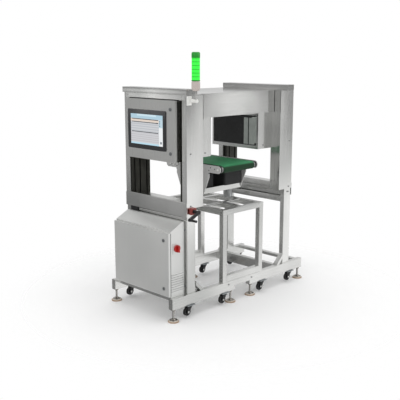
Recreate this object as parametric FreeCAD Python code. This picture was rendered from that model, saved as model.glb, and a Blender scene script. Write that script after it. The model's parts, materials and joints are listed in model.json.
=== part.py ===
import FreeCAD, Part
import math
import os

from FreeCAD import Vector

# A weighing and inspection station for packs on a short belt, in millimetres.
# X runs from the operator tower to the far tower, Y from the front to the back, Z up.
# The origin lies on the floor under the middle of the whole machine.

# Base frame
base_width = 1118.0
base_depth = 512.0
front_reach = 95.0
cap_overhang = 8.0
skid_bottom = 69.5
skid_height = 60.0
skid_depth = 30.0
tube_wall = 2.0
tube_round = 3.0
skid_gap = 131.0
skid_gap_shift = -6.5
end_plate = 2.0
member_width = 30.0
outer_member_inset = 20.0
inner_member_inset = 211.0
link_height = 36.0
link_bolt_left = 49.5
link_bolt_right = 17.5
bolt_radius = 5.0
bolt_height = 3.5

# Tower posts and the ties between them
post_inset = 118.5
post_width = 62.0
post_depth = 30.0
post_setback = 10.0
post_top = 988.0
tie_height = 37.0
tie_top = 596.5
low_tie_height = 41.0
low_tie_width = 52.0
low_tie_drop = 5.5
low_tie_round = 12.0
brace_leg = 62.0
brace_thick = 18.0
brace_setback = 6.0
brace_depth = 30.0
clamp_length = 62.0
clamp_thick = 5.0
clamp_height = 34.0
glide_length = 40.0
glide_gap = 0.3

# Lifting frame that rides on the posts
lift_travel = 150.0
rest_gap = 1.0
column_wall = 2.0
column_clear = 1.0
column_width = 120.5
column_top = 1188.0
profile_width = 100.0
profile_depth = 34.0
profile_slot = 8.0
profile_slot_inside = 16.0
profile_lip = 2.5
profile_slot_depth = 10.0
profile_cover_thick = 1.5
profile_fit = 0.3
crossbar_height = 34.0
crossbar_cover_height = 75.0
crossbar_cover_thick = 2.5
apron_gap = 0.3
roof_thick = 3.5
cap_width = 70.0
cap_height = 29.0
cap_wall = 2.0
beam_setback = 54.0
beam_height = 125.0
beam_flange = 15.0
beam_wall = 2.5

# Camera housings on the inner sides of the towers
camera_reach = 126.0
camera_setback = 71.0
camera_bottom = 850.0
camera_wall = 2.0
window_frame_bottom = 20.0
window_frame_side = 12.0
window_height = 176.0
window_thick = 4.0
window_lip = 6.0
light_bar_width = 14.0
camera_body = 60.0

# Lifting drive in the front post of the operator tower
screw_radius = 8.0
screw_journal = 6.0
screw_spare = 35.0
journal_fit = 0.05
nut_height = 30.0
nut_clear = 22.7
bearing_height = 14.0
gear_boss = 6.0
nut_tube_radius = 12.0
shaft_radius = 5.0
shaft_clear = 2.0
gear_radius = 8.0
gear_width = 3.0
gear_gap = 0.3
crank_hub_radius = 10.0
crank_hub_length = 40.0
crank_arm_side = 66.0
crank_arm_drop = 29.0
crank_arm_thick = 9.0
grip_radius = 8.0
indicator_width = 40.0
indicator_height = 33.0
indicator_depth = 16.0
flange_radius = 11.5
flange_thick = 4.0

# Centre stand
stand_width = 344.0
stand_top = 550.5
leg_width = 34.0
rail_height = 30.0
foot_rail_height = 37.5
cross_rail_offset = 87.0
cross_rail_width = 30.0

# Weigh conveyor
belt_top = 790.5
belt_width = 256.0
belt_thick = 2.0
belt_gap = 0.3
roller_radius = 20.0
conveyor_setback = 36.0
plate_radius = 21.5
plate_thick = 4.0
plate_spacing = 308.0
skirt_top_setback = 124.0
skirt_straight = 28.0
skirt_foot_setback = 166.0
skirt_foot = 618.0
journal_radius = 8.0
bearing_radius = 17.0
bearing_width = 12.0
roller_cap_radius = 18.0
roller_cap_width = 9.0
bed_thick = 2.2
bed_bar = 16.0
bed_bar_height = 22.0
bed_side_margin = 5.0
tray_top = 649.0
tray_sheet = 2.5
tray_lip = 12.0
cell_radius = 28.0
cell_height = 50.0
cell_neck = 8.0
cell_inset = 29.0
drive_box_setback = 151.0
drive_box_width = 149.0
drive_box_height = 86.0
drive_box_round = 12.0
junction_box_width = 66.0
junction_box_height = 72.0
junction_box_offset = 34.0

# Electrical cabinet
cabinet_depth = 112.0
cabinet_setback = 27.0
cabinet_width = 449.0
cabinet_gap = 0.3
cabinet_front_height = 352.0
cabinet_back_height = 400.0
cabinet_flat_top = 14.0
cabinet_wall = 2.0
cabinet_door_depth = 15.0
cabinet_door_gap = 0.8
cabinet_door_raise = 6.0
cabinet_rim = 14.0
louvre_count = 8
louvre_length = 88.0
louvre_slot = 4.0
louvre_hood = 6.0
louvre_pitch = 13.0
louvre_setback = 19.5
louvre_base = 30.0
louvre_depth = 3.0
hinge_radius = 4.0
hinge_length = 40.0
hinge_leaf = 2.0
hinge_end_margin = 45.0
mounting_plate_thick = 2.5
mounting_plate_gap = 5.0
mounting_plate_foot = 60.0
mounting_plate_side = 30.0
mounting_plate_head = 20.0
stud_inset = 15.0
stud_radius = 6.0
lock_radius = 9.0
lock_cap = 3.0
lock_body_radius = 7.0
lock_fit = 0.3
lock_setback = 39.0
lock_end_margin = 41.0
cam_thick = 2.5
switch_from_front = 56.0
switch_height = 395.0
switch_radius = 20.0
switch_plate = 54.0
switch_plate_thick = 3.0
switch_knob_depth = 22.0

# Operator panel
panel_box_front = 82.5
panel_box_setback = 62.0
panel_box_width = 399.0
panel_box_bottom = 840.0
panel_box_height = 322.0
panel_door_depth = 17.0
panel_box_wall = 1.5
panel_box_fit = 1.0
panel_rim = 10.0
bezel_setback = 127.5
bezel_width = 305.5
bezel_bottom = 894.0
bezel_height = 212.0
bezel_proud = 4.0
bezel_round = 8.0
screen_side = 22.0
screen_foot = 24.0
screen_height = 164.0
screen_width = 260.0
screen_recess = 0.8
panel_body_margin = 10.0
panel_body_depth = 34.0
panel_lock_setback = 32.5
panel_lock_margin = 46.0
gland_radius = 9.0
gland_bore = 4.0
gland_length = 18.0
gland_height = 30.0
gland_pitch = 24.0

# Signal light
light_radius = 22.0
light_x_inset = 145.0
light_forward = 30.0
knuckle_drop = 25.0
knuckle_radius = 9.5
stem_length = 50.0
light_base_height = 52.0
light_lens_height = 113.5
light_cap_height = 28.5
stem_radius = 7.0
bracket_width = 34.0
bracket_height = 47.0
bracket_thick = 2.5
knuckle_length = 16.0

# Feet and castors
foot_inset = 20.0
pad_radius = 30.0
pad_height = 7.0
dome_height = 12.0
stem_thread_radius = 6.0
nut_across_flats = 19.0
nut_thick = 8.0
castor_insets_left = (133.0, 78.0)
castor_insets_right = (120.0, 114.0)
castor_plate_length = 60.0
castor_plate_depth = 50.0
castor_plate_thick = 3.0
castor_trail = 14.0
wheel_radius = 23.0
wheel_width = 18.0
wheel_lift = 8.0
wheel_bore_fit = 0.05
axle_radius = 4.0
fork_thick = 2.5
fork_clear = 1.2
fork_disc_radius = 20.0
swivel_race_radius = 17.0
swivel_race_height = 5.0
swivel_gap = 0.3

# Places worked out from the sizes above
left_end = -base_width / 2
front_face = front_reach - (base_depth + front_reach + cap_overhang) / 2
back_face = front_face + base_depth
skid_top = skid_bottom + skid_height
gap_left = skid_gap_shift - skid_gap / 2
gap_right = skid_gap_shift + skid_gap / 2
tie_bottom = tie_top - tie_height
crossbar_bottom = tie_top + rest_gap
crossbar_top = crossbar_bottom + crossbar_height
shaft_height = crossbar_bottom - flange_radius - shaft_clear
bearing_foot = shaft_height + gear_radius + gear_gap + gear_boss
bearing_top = bearing_foot + bearing_height
nut_bottom = bearing_top + nut_clear
screw_top = nut_bottom + nut_height + lift_travel + screw_spare
column_inset = post_inset - column_clear - column_wall
column_front = post_setback - column_clear - column_wall
column_depth = post_depth + 2 * (column_clear + column_wall)
profile_front = column_front + column_depth
window_front = profile_front + profile_depth
inner_inset = column_inset + column_width
post_mid_inset = post_inset + post_width / 2
post_mid_front = post_setback + post_depth / 2
beam_bottom = column_top - beam_height
roof_top = column_top + roof_thick
roller_height = belt_top - belt_thick - roller_radius
front_roller = front_face + conveyor_setback + plate_radius
back_roller = back_face - conveyor_setback - plate_radius
plate_inner = plate_spacing / 2
middle_y = front_face + base_depth / 2
cabinet_bottom = skid_top + cabinet_gap
cabinet_front_y = front_face + cabinet_setback
cabinet_back_y = cabinet_front_y + cabinet_width
panel_front_y = front_face + panel_box_setback
panel_back_y = panel_front_y + panel_box_width
panel_box_top = panel_box_bottom + panel_box_height
profile_outer_inset = inner_inset - profile_width
light_x = left_end + light_x_inset
light_y = front_face - light_forward
knuckle_height = column_top - knuckle_drop
light_base_bottom = knuckle_height + stem_length
light_lens_bottom = light_base_bottom + light_base_height
light_cap_bottom = light_lens_bottom + light_lens_height
light_top = light_cap_bottom + light_cap_height


def span(a, b):
    """The two ends of a stretch, lower end first."""
    return min(a, b), max(a, b)


def block(x, y, z):
    """A rectangular solid between the two ends given for each direction."""
    x0, x1 = span(*x)
    y0, y1 = span(*y)
    z0, z1 = span(*z)
    return Part.makeBox(x1 - x0, y1 - y0, z1 - z0, Vector(x0, y0, z0))


def rod(start, radius, length, axis):
    """A round bar from a start point along an axis."""
    return Part.makeCylinder(radius, length, Vector(*start), Vector(*axis))


def along(shape, axis):
    """The straight edges of a shape that run along X, Y or Z."""
    found = []
    for edge in shape.Edges:
        if edge.Curve.TypeId != "Part::GeomLine":
            continue
        direction = edge.tangentAt(edge.FirstParameter)
        if abs(abs(direction[axis]) - 1) < 1e-6:
            found.append(edge)
    return found


def tube(x, y, z, axis, wall=tube_wall, rounding=tube_round):
    """A rectangular tube with rounded outer edges, open at both ends along its axis."""
    outer = block(x, y, z)
    outer = outer.makeFillet(rounding, along(outer, axis))
    ends = [list(span(*x)), list(span(*y)), list(span(*z))]
    for direction in range(3):
        inward = -wall if direction == axis else wall
        ends[direction][0] += inward
        ends[direction][1] -= inward
    return outer.cut(block(*ends))


def sheet(points, axis, start, length):
    """A flat outline given by corner points, carried straight along one axis."""
    corners = []
    for a, b in points:
        corner = [a, b]
        corner.insert(axis, start)
        corners.append(Vector(*corner))
    corners.append(corners[0])
    direction = [0, 0, 0]
    direction[axis] = length
    return Part.Face(Part.makePolygon(corners)).extrude(Vector(*direction))


def side_x(side, inset):
    """A place measured inward from the end of the base on one side, -1 or 1."""
    return side * (base_width / 2 - inset)


def side_span(side, inset, width):
    """The stretch of a given width that starts at an inset on one side."""
    return span(side_x(side, inset), side_x(side, inset + width))


def end_y(end, setback):
    """A place measured inward from the front (-1) or back (1) face of the base."""
    return front_face + setback if end < 0 else back_face - setback


def end_span(end, setback, depth):
    """The stretch of a given depth that starts at a setback from front or back."""
    return span(end_y(end, setback), end_y(end, setback + depth))


def save(name, shapes):
    """Write one sub-part, a single solid or a group of separate ones."""
    if isinstance(shapes, list):
        shapes = Part.makeCompound(shapes)
    shapes.exportStep(f"parts/{name}.step")


def skid_ends(side):
    """The outer and inner X of the skids on one side."""
    if side < 0:
        return left_end, gap_left
    return gap_right, -left_end


def base_frame():
    """Skids with end plates, the members between them and the links across the gap."""
    pieces = []
    for side in (-1, 1):
        x0, x1 = skid_ends(side)
        for end in (-1, 1):
            y = end_span(end, 0, skid_depth)
            z = (skid_bottom, skid_top)
            pieces.append(tube((x0 + end_plate, x1 - end_plate), y, z, 0))
            pieces.append(block((x0, x0 + end_plate), y, z))
            pieces.append(block((x1 - end_plate, x1), y, z))
        for inset in (outer_member_inset, inner_member_inset):
            x = side_span(side, inset, member_width)
            y = (front_face + skid_depth, back_face - skid_depth)
            pieces.append(tube(x, y, (skid_bottom, skid_top), 1))
    for end in (-1, 1):
        y = end_span(end, 0, skid_depth)
        pieces.append(tube((gap_left, gap_right), y, (skid_top - link_height, skid_top), 0))
    return pieces


def post_with_holes(side, end):
    """One tower post, with the holes for the crank shaft in the driven one."""
    x = side_span(side, post_inset, post_width)
    y = end_span(end, post_setback, post_depth)
    post = tube(x, y, (skid_top, post_top), 2)
    if side < 0 and end < 0:
        middle = (side_x(side, post_mid_inset), y[0] - 1, shaft_height)
        hole = rod(middle, shaft_radius + 2, tube_wall + 2, (0, 1, 0))
        post = post.cut(hole)
    return post


def glide_pad(side, end):
    """A plastic collar near the top of a post that fills its clearance in the column."""
    proud = column_clear - glide_gap
    x = side_span(side, post_inset - proud, post_width + 2 * proud)
    y = end_span(end, post_setback - proud, post_depth + 2 * proud)
    z = (post_top, post_top + end_plate)
    pad = block(x, y, z)
    bore = block(
        side_span(side, post_inset + tube_wall, post_width - 2 * tube_wall),
        end_span(end, post_setback + tube_wall, post_depth - 2 * tube_wall),
        z,
    )
    skirt_z = (post_top - glide_length, post_top)
    skirt = block(x, y, skirt_z).cut(
        block(side_span(side, post_inset, post_width), end_span(end, post_setback, post_depth), skirt_z)
    )
    return pad.cut(bore).fuse(skirt).removeSplitter()


def screw_bearing():
    """The block inside the driven post that carries the foot of the lifting screw."""
    x = side_span(-1, post_inset + tube_wall, post_width - 2 * tube_wall)
    y = end_span(-1, post_setback + tube_wall, post_depth - 2 * tube_wall)
    seat = block(x, y, (bearing_foot, bearing_top))
    centre = (side_x(-1, post_mid_inset), end_y(-1, post_mid_front), bearing_foot - 1)
    return seat.cut(rod(centre, screw_journal + journal_fit, bearing_height + 2, (0, 0, 1)))


def tower_posts():
    """Four posts with their glide collars, and the bearing of the lifting screw."""
    pieces = []
    for side in (-1, 1):
        for end in (-1, 1):
            pieces.append(post_with_holes(side, end))
            pieces.append(glide_pad(side, end))
    pieces.append(screw_bearing())
    return pieces


def knee_brace(side, end):
    """A mitred strut from the inner face of a post down to its skid."""
    corner = side_x(side, post_inset + post_width)
    inner = brace_leg - brace_thick * math.sqrt(2)
    points = [
        (corner, skid_top + brace_leg),
        (corner, skid_top + inner),
        (corner - side * inner, skid_top),
        (corner - side * brace_leg, skid_top),
    ]
    y = end_span(end, brace_setback, brace_depth)
    return sheet(points, 1, y[0], y[1] - y[0])


def tie_clamp():
    """The clamp plate on the outer side of the operator tower's low tie, at the back post."""
    low_top = tie_bottom - low_tie_drop
    inset = post_inset + (post_width - low_tie_width) / 2 - clamp_thick
    y1 = end_y(1, post_setback + post_depth)
    z_middle = low_top - low_tie_height / 2
    z = (z_middle - clamp_height / 2, z_middle + clamp_height / 2)
    return block(side_span(-1, inset, clamp_thick), (y1 - clamp_length, y1), z)


def post_braces():
    """Upper and lower ties between front and back posts, the knee braces and the clamp."""
    pieces = []
    y = (end_y(-1, post_setback + post_depth), end_y(1, post_setback + post_depth))
    for side in (-1, 1):
        x = side_span(side, post_inset, post_width)
        pieces.append(tube(x, y, (tie_bottom, tie_top), 1))
        margin = (post_width - low_tie_width) / 2
        low_x = side_span(side, post_inset + margin, low_tie_width)
        low_top = tie_bottom - low_tie_drop
        low_z = (low_top - low_tie_height, low_top)
        pieces.append(tube(low_x, y, low_z, 1, tube_wall, low_tie_round))
        for end in (-1, 1):
            pieces.append(knee_brace(side, end))
    pieces.append(tie_clamp())
    return pieces


def stand_frame():
    """The centre stand: four legs, foot rails, and a top frame with cross rails."""
    pieces = []
    half = stand_width / 2
    rail_bottom = stand_top - rail_height
    for x0 in (-half, half - leg_width):
        x = (x0, x0 + leg_width)
        for end in (-1, 1):
            y = end_span(end, 0, skid_depth)
            pieces.append(tube(x, y, (skid_top, rail_bottom), 2))
        y = (front_face + end_plate, back_face - end_plate)
        pieces.append(tube(x, y, (rail_bottom, stand_top), 1))
        for end in (-1, 1):
            pieces.append(block(x, end_span(end, 0, end_plate), (rail_bottom, stand_top)))
    inner = (leg_width - half, half - leg_width)
    for end in (-1, 1):
        y = end_span(end, 0, skid_depth)
        pieces.append(tube(inner, y, (rail_bottom, stand_top), 0))
        pieces.append(tube(inner, y, (skid_top, skid_top + foot_rail_height), 0))
    half_rail = cross_rail_width / 2
    stops = [front_face + skid_depth]
    for place in (middle_y - cross_rail_offset, middle_y + cross_rail_offset):
        y = (place - half_rail, place + half_rail)
        pieces.append(tube(inner, y, (rail_bottom, stand_top), 0))
        stops += list(y)
    stops.append(back_face - skid_depth)
    for y in zip(stops[0::2], stops[1::2]):
        pieces.append(tube((-half_rail, half_rail), y, (rail_bottom, stand_top), 1))
    return pieces


def side_plate(x0):
    """A side plate: round ends round the roller shafts and a skirt that tapers down."""
    z0 = roller_height - plate_radius
    z1 = roller_height + plate_radius
    y0 = front_roller
    y1 = back_roller
    knee = z0 - skirt_straight
    skirt = [
        (end_y(1, skirt_top_setback), z0),
        (end_y(1, skirt_top_setback), knee),
        (end_y(1, skirt_foot_setback), skirt_foot),
        (end_y(-1, skirt_foot_setback), skirt_foot),
        (end_y(-1, skirt_top_setback), knee),
        (end_y(-1, skirt_top_setback), z0),
    ]
    edges = [
        Part.LineSegment(Vector(x0, y0, z1), Vector(x0, y1, z1)).toShape(),
        Part.Arc(
            Vector(x0, y1, z1), Vector(x0, y1 + plate_radius, roller_height), Vector(x0, y1, z0)
        ).toShape(),
    ]
    corners = [(y1, z0)] + skirt + [(y0, z0)]
    for (ya, za), (yb, zb) in zip(corners, corners[1:]):
        edges.append(Part.LineSegment(Vector(x0, ya, za), Vector(x0, yb, zb)).toShape())
    edges.append(
        Part.Arc(
            Vector(x0, y0, z0), Vector(x0, y0 - plate_radius, roller_height), Vector(x0, y0, z1)
        ).toShape()
    )
    plate = Part.Face(Part.Wire(edges)).extrude(Vector(plate_thick, 0, 0))
    for y in (front_roller, back_roller):
        plate = plate.cut(rod((x0 - 1, y, roller_height), journal_radius + 1, plate_thick + 2, (1, 0, 0)))
    return plate


def side_plates():
    """The two side plates of the weigh conveyor."""
    return [side_plate(-plate_inner - plate_thick), side_plate(plate_inner)]


def stadium(radius, x0, x1):
    """The solid between two half rounds about the roller axes, level top and bottom."""
    z0 = roller_height
    middle = block((x0, x1), (front_roller, back_roller), (z0 - radius, z0 + radius))
    ends = [rod((x0, y, z0), radius, x1 - x0, (1, 0, 0)) for y in (front_roller, back_roller)]
    return middle.fuse(ends).removeSplitter()


def conveyor_belt():
    """An endless flat belt round both rollers."""
    half = belt_width / 2
    outer = stadium(roller_radius + belt_thick, -half, half)
    return outer.cut(stadium(roller_radius, -half - 1, half + 1))


def roller():
    """A roller with end caps and journals, lying along X on the origin."""
    half = belt_width / 2 + 2
    shaft_half = plate_inner + plate_thick - 1
    drum = rod((-half, 0, 0), roller_radius - belt_gap, 2 * half, (1, 0, 0))
    cap_half = half + roller_cap_width
    caps = rod((-cap_half, 0, 0), roller_cap_radius, 2 * cap_half, (1, 0, 0))
    shaft = rod((-shaft_half, 0, 0), journal_radius, 2 * shaft_half, (1, 0, 0))
    return drum.fuse([caps, shaft]).removeSplitter()


def roller_bearings():
    """Four bearing rings on the inner faces of the side plates."""
    rings = []
    for y in (front_roller, back_roller):
        for x0 in (-plate_inner, plate_inner - bearing_width):
            ring = rod((x0, y, roller_height), bearing_radius, bearing_width, (1, 0, 0))
            start = (x0 - 1, y, roller_height)
            bore = rod(start, journal_radius + journal_fit, bearing_width + 2, (1, 0, 0))
            rings.append(ring.cut(bore))
    return rings


def slider_bed():
    """The plate under the top run, with turned-down ends, on two bars between the plates."""
    top = belt_top - belt_thick - belt_gap
    half = belt_width / 2 - bed_side_margin
    y0 = front_roller + roller_radius + 4
    y1 = back_roller - roller_radius - 4
    plate = block((-half, half), (y0, y1), (top - bed_thick, top))
    lips = []
    for y in (y0, y1 - bed_thick):
        lips.append(block((-half, half), (y, y + bed_thick), (top - bed_bar_height, top)))
    bar_top = top - bed_thick
    for place in (middle_y - cross_rail_offset, middle_y + cross_rail_offset):
        y = (place - bed_bar / 2, place + bed_bar / 2)
        lips.append(block((-plate_inner, plate_inner), y, (bar_top - bed_bar_height, bar_top)))
    return plate.fuse(lips).removeSplitter()


def weigh_tray():
    """A folded channel between the skirts, with flanges front and back and inner lips."""
    y0 = end_y(-1, skirt_foot_setback)
    y1 = end_y(1, skirt_foot_setback)
    foot = skirt_foot
    points = [
        (y0, foot),
        (y0, tray_top),
        (y1, tray_top),
        (y1, foot),
        (y1 - tray_lip, foot),
        (y1 - tray_lip, foot + tray_sheet),
        (y1 - tray_sheet, foot + tray_sheet),
        (y1 - tray_sheet, tray_top - tray_sheet),
        (y0 + tray_sheet, tray_top - tray_sheet),
        (y0 + tray_sheet, foot + tray_sheet),
        (y0 + tray_lip, foot + tray_sheet),
        (y0 + tray_lip, foot),
    ]
    return sheet(points, 0, -plate_inner, plate_spacing)


def load_cells():
    """Two round load cells between the stand rails and the tray, each with a neck."""
    cells = []
    for side in (-1, 1):
        x = side * (stand_width / 2 - cell_inset)
        body = rod((x, middle_y, stand_top), cell_radius, cell_height, (0, 0, 1))
        body = body.makeChamfer(2.0, [body.Edges[0]])
        neck = rod((x, middle_y, stand_top), cell_neck, tray_top - tray_sheet - stand_top, (0, 0, 1))
        cells.append(body.fuse(neck).removeSplitter())
    return cells


def rounded_box(x, y, z, radius):
    """A housing with rounded upright edges."""
    shape = block(x, y, z)
    return shape.makeFillet(radius, along(shape, 2))


def drive_boxes():
    """The belt drive controller and the load cell junction box, standing on the tray."""
    y0 = end_y(-1, skirt_foot_setback) + tray_sheet
    y1 = end_y(1, skirt_foot_setback) - tray_sheet
    x1 = plate_inner - 2
    drive = rounded_box(
        (x1 - drive_box_width, x1),
        (end_y(-1, drive_box_setback), end_y(1, drive_box_setback)),
        (tray_top, tray_top + drive_box_height),
        drive_box_round,
    )
    x0 = -plate_inner + junction_box_offset
    junction = rounded_box(
        (x0, x0 + junction_box_width),
        (y0 + 20, y1 - 20),
        (tray_top, tray_top + junction_box_height),
        drive_box_round / 2,
    )
    return [drive, junction]


def cabinet_outline(wall):
    """The side outline of the cabinet shell in X and Z, drawn in by a wall."""
    x0 = left_end + cabinet_door_depth + cabinet_door_gap
    x1 = left_end + cabinet_depth
    z0 = cabinet_bottom
    z1 = cabinet_bottom + cabinet_front_height
    z2 = cabinet_bottom + cabinet_back_height
    rise = (z2 - z1) / (cabinet_depth - cabinet_flat_top)
    z_front = z1 + rise * (x0 - left_end)
    slope_wall = wall * math.sqrt(1 + rise * rise)
    return [
        (x0, z0 + wall),
        (x1 - wall, z0 + wall),
        (x1 - wall, z2 - wall),
        (x1 - cabinet_flat_top, z2 - wall - (slope_wall - wall)),
        (x0, z_front - slope_wall),
    ]


def louvres(shell):
    """A row of slots in the front side of the cabinet, each under a hood pressed outwards."""
    x0 = left_end + louvre_setback
    y0 = cabinet_front_y
    slots = []
    hoods = []
    for index in range(louvre_count):
        z0 = cabinet_bottom + louvre_base + index * louvre_pitch
        z1 = z0 + louvre_slot
        slots.append(block((x0, x0 + louvre_length), (y0 - 1, y0 + cabinet_wall + 1), (z0, z1)))
        hood = [(y0, z1 + louvre_hood), (y0 - louvre_depth, z1), (y0 - louvre_depth, z1 - 1), (y0, z1)]
        hoods.append(sheet(hood, 0, x0, louvre_length))
    return shell.cut(slots).fuse(hoods).removeSplitter()


def cabinet_shell():
    """A folded shell with a sloping top, an inner rim round the door opening and louvres."""
    width = cabinet_back_y - cabinet_front_y
    shell = sheet(cabinet_outline(0), 1, cabinet_front_y, width)
    room = cabinet_outline(cabinet_wall)
    hollow = sheet(room, 1, cabinet_front_y + cabinet_wall, width - 2 * cabinet_wall)
    x0 = left_end + cabinet_door_depth + cabinet_door_gap
    z1 = cabinet_bottom + cabinet_front_height
    hollow = hollow.cut(
        block(
            (x0, x0 + cabinet_wall),
            (cabinet_front_y, cabinet_back_y),
            (cabinet_bottom, cabinet_bottom + cabinet_back_height),
        )
    )
    mouth = block(
        (x0 - 1, x0 + cabinet_wall + 1),
        (cabinet_front_y + cabinet_rim, cabinet_back_y - cabinet_rim),
        (cabinet_bottom + cabinet_rim, z1 - cabinet_rim),
    )
    shell = shell.cut([hollow, mouth])
    hole = rod(
        (left_end + switch_from_front, cabinet_front_y - 1, switch_height),
        lock_body_radius + lock_fit,
        cabinet_wall + 2,
        (0, 1, 0),
    )
    lead_hole = rod(
        (left_end + cabinet_depth - cabinet_wall - 1, middle_y, cabinet_bottom + gland_height),
        gland_bore,
        cabinet_wall + 2,
        (1, 0, 0),
    )
    return louvres(shell.cut([hole, lead_hole]))


def lock_heights_cabinet():
    """The heights of the two locks on the cabinet door."""
    return (
        cabinet_bottom + cabinet_door_raise + lock_end_margin,
        cabinet_bottom + cabinet_front_height - lock_end_margin,
    )


def cabinet_door():
    """A pan door with turned-in edges, a seal land and hinge knuckles at its far edge."""
    x0 = left_end
    x1 = left_end + cabinet_door_depth
    y = (cabinet_front_y, cabinet_back_y)
    z = (cabinet_bottom + cabinet_door_raise, cabinet_bottom + cabinet_front_height)
    pan = block((x0, x1), y, z)
    inside = block(
        (x0 + cabinet_wall, x1 + 1),
        (y[0] + cabinet_wall, y[1] - cabinet_wall),
        (z[0] + cabinet_wall, z[1] - cabinet_wall),
    )
    door = pan.cut(inside)
    holes = []
    for height in lock_heights_cabinet():
        start = (x0 - 1, cabinet_front_y + lock_setback, height)
        holes.append(rod(start, lock_body_radius + lock_fit, cabinet_wall + 2, (1, 0, 0)))
    return door.cut(holes).fuse(cabinet_knuckles(0)).removeSplitter()


def cabinet_hinge_axis():
    """The X and Y of the cabinet door's hinge axis."""
    return left_end + cabinet_door_depth, cabinet_back_y + hinge_radius + lock_fit


def cabinet_knuckles(part):
    """Door knuckles (0) or fixed knuckles (1) of the cabinet hinges, with their leaves."""
    x, y = cabinet_hinge_axis()
    z_low = cabinet_bottom + cabinet_door_raise + hinge_end_margin
    z_high = cabinet_bottom + cabinet_front_height - hinge_end_margin - hinge_length
    half = hinge_length / 2
    pieces = []
    for z0 in (z_low, z_high):
        start = z0 + part * half
        barrel = rod((x, y, start + lock_fit), hinge_radius, half - 2 * lock_fit, (0, 0, 1))
        z = (start + lock_fit, start + half - lock_fit)
        if part == 0:
            leaf = block((x - hinge_radius - 2, x), (cabinet_back_y - 1, y), z)
            bore = rod((x, y, start - 1), hinge_radius / 2 + journal_fit, half + 2, (0, 0, 1))
            pieces.append(barrel.fuse(leaf).cut(bore))
        else:
            leaf = block((x + 1, x + hinge_radius + 20), (cabinet_back_y, cabinet_back_y + hinge_leaf), z)
            neck = block((x + 1, x + hinge_radius), (cabinet_back_y, y), z)
            pin = rod((x, y, z0 + lock_fit), hinge_radius / 2, hinge_length - 2 * lock_fit, (0, 0, 1))
            pieces.append(barrel.fuse([leaf, neck, pin]).removeSplitter())
    return pieces


def cabinet_fittings():
    """Fixed hinge halves, the switch plate, post spacers and a cable gland."""
    pieces = cabinet_knuckles(1)
    x = left_end + switch_from_front
    half = switch_plate / 2
    y1 = cabinet_front_y
    z = (switch_height - half, switch_height + half)
    plate = rounded_box((x - half, x + half), (y1 - switch_plate_thick, y1), z, 1.0)
    start = (x, y1 - switch_plate_thick - 1, switch_height)
    bore = rod(start, lock_body_radius + lock_fit, switch_plate_thick + 2, (0, 1, 0))
    pieces.append(plate.cut(bore))
    x_back = left_end + cabinet_depth
    spacer = side_x(-1, post_inset) - x_back
    for height in (cabinet_bottom + lock_end_margin, cabinet_bottom + cabinet_front_height):
        y = end_y(-1, post_mid_front + 8)
        pieces.append(rod((x_back, y, height), 5.0, spacer, (1, 0, 0)))
    pieces.append(cabinet_gland())
    return pieces


def cabinet_gland():
    """The gland for the supply lead in the back wall of the cabinet, low down."""
    x0 = left_end + cabinet_depth
    z = cabinet_bottom + gland_height
    body = rod((x0, middle_y, z), gland_radius, 6, (1, 0, 0))
    dome = rod((x0 + 6, middle_y, z), gland_radius - 2, gland_length - 6, (1, 0, 0))
    bore = rod((x0 - 1, middle_y, z), gland_bore, gland_length + 2, (1, 0, 0))
    return body.fuse(dome).cut(bore).removeSplitter()


def cabinet_electronics():
    """The mounting plate with its power supply, drive, controller and terminal row."""
    x1 = left_end + cabinet_depth - cabinet_wall - mounting_plate_gap
    x0 = x1 - mounting_plate_thick
    y0 = cabinet_front_y + mounting_plate_side
    y1 = cabinet_back_y - mounting_plate_side
    z0 = cabinet_bottom + mounting_plate_foot
    z1 = cabinet_bottom + cabinet_front_height - mounting_plate_head
    pieces = [block((x0, x1), (y0, y1), (z0, z1))]
    for y in (y0 + stud_inset, y1 - stud_inset):
        for z in (z0 + stud_inset, z1 - stud_inset):
            pieces.append(rod((x1, y, z), stud_radius, mounting_plate_gap, (1, 0, 0)))
    devices = ((20, 70, 150, 60), (100, 60, 150, 55), (175, 120, 120, 48), (310, 60, 160, 52))
    for start, width, height, depth in devices:
        y = (y0 + start, y0 + start + width)
        pieces.append(rounded_box((x0 - depth, x0), y, (z1 - 25 - height, z1 - 25), 3.0))
    rail = block((x0 - 8, x0), (y0 + 20, y1 - 20), (z0 + 40, z0 + 75))
    terminals = []
    for index in range(12):
        y = y0 + 40 + index * 24
        terminals.append(block((x0 - 38, x0 - 8), (y, y + 20), (z0 + 30, z0 + 85)))
    pieces.append(rail.fuse(terminals).removeSplitter())
    return pieces


def quarter_lock(depth, cam_length):
    """A quarter-turn lock lying along X: cap outside, barrel through the door, cam inside."""
    cap = rod((-lock_cap, 0, 0), lock_radius, lock_cap, (1, 0, 0))
    cap = cap.makeChamfer(0.8, [cap.Edges[0]])
    slot = block((-lock_cap - 1, -lock_cap + 1), (-1.2, 1.2), (-lock_radius + 3, lock_radius - 3))
    barrel = rod((0, 0, 0), lock_body_radius, depth, (1, 0, 0))
    cam_y = (-lock_body_radius, lock_body_radius)
    cam = block((depth, depth + cam_thick), cam_y, (-lock_body_radius, cam_length))
    return cap.cut(slot).fuse([barrel, cam]).removeSplitter()


def main_switch():
    """The red rotary main switch: a round skirt with a raised grip bar and a shaft."""
    y0 = -switch_plate_thick
    skirt = rod((0, y0, 0), switch_radius, 8, (0, -1, 0))
    half = 5.0
    reach = switch_radius - 2
    grip = block((-half, half), (y0 - switch_knob_depth, y0 - 8), (-reach, reach))
    grip = grip.makeFillet(3.0, along(grip, 2))
    shaft = rod((0, y0, 0), lock_body_radius - 1, switch_plate_thick + cabinet_wall + 12, (0, 1, 0))
    return skirt.fuse([grip, shaft]).removeSplitter()


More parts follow.
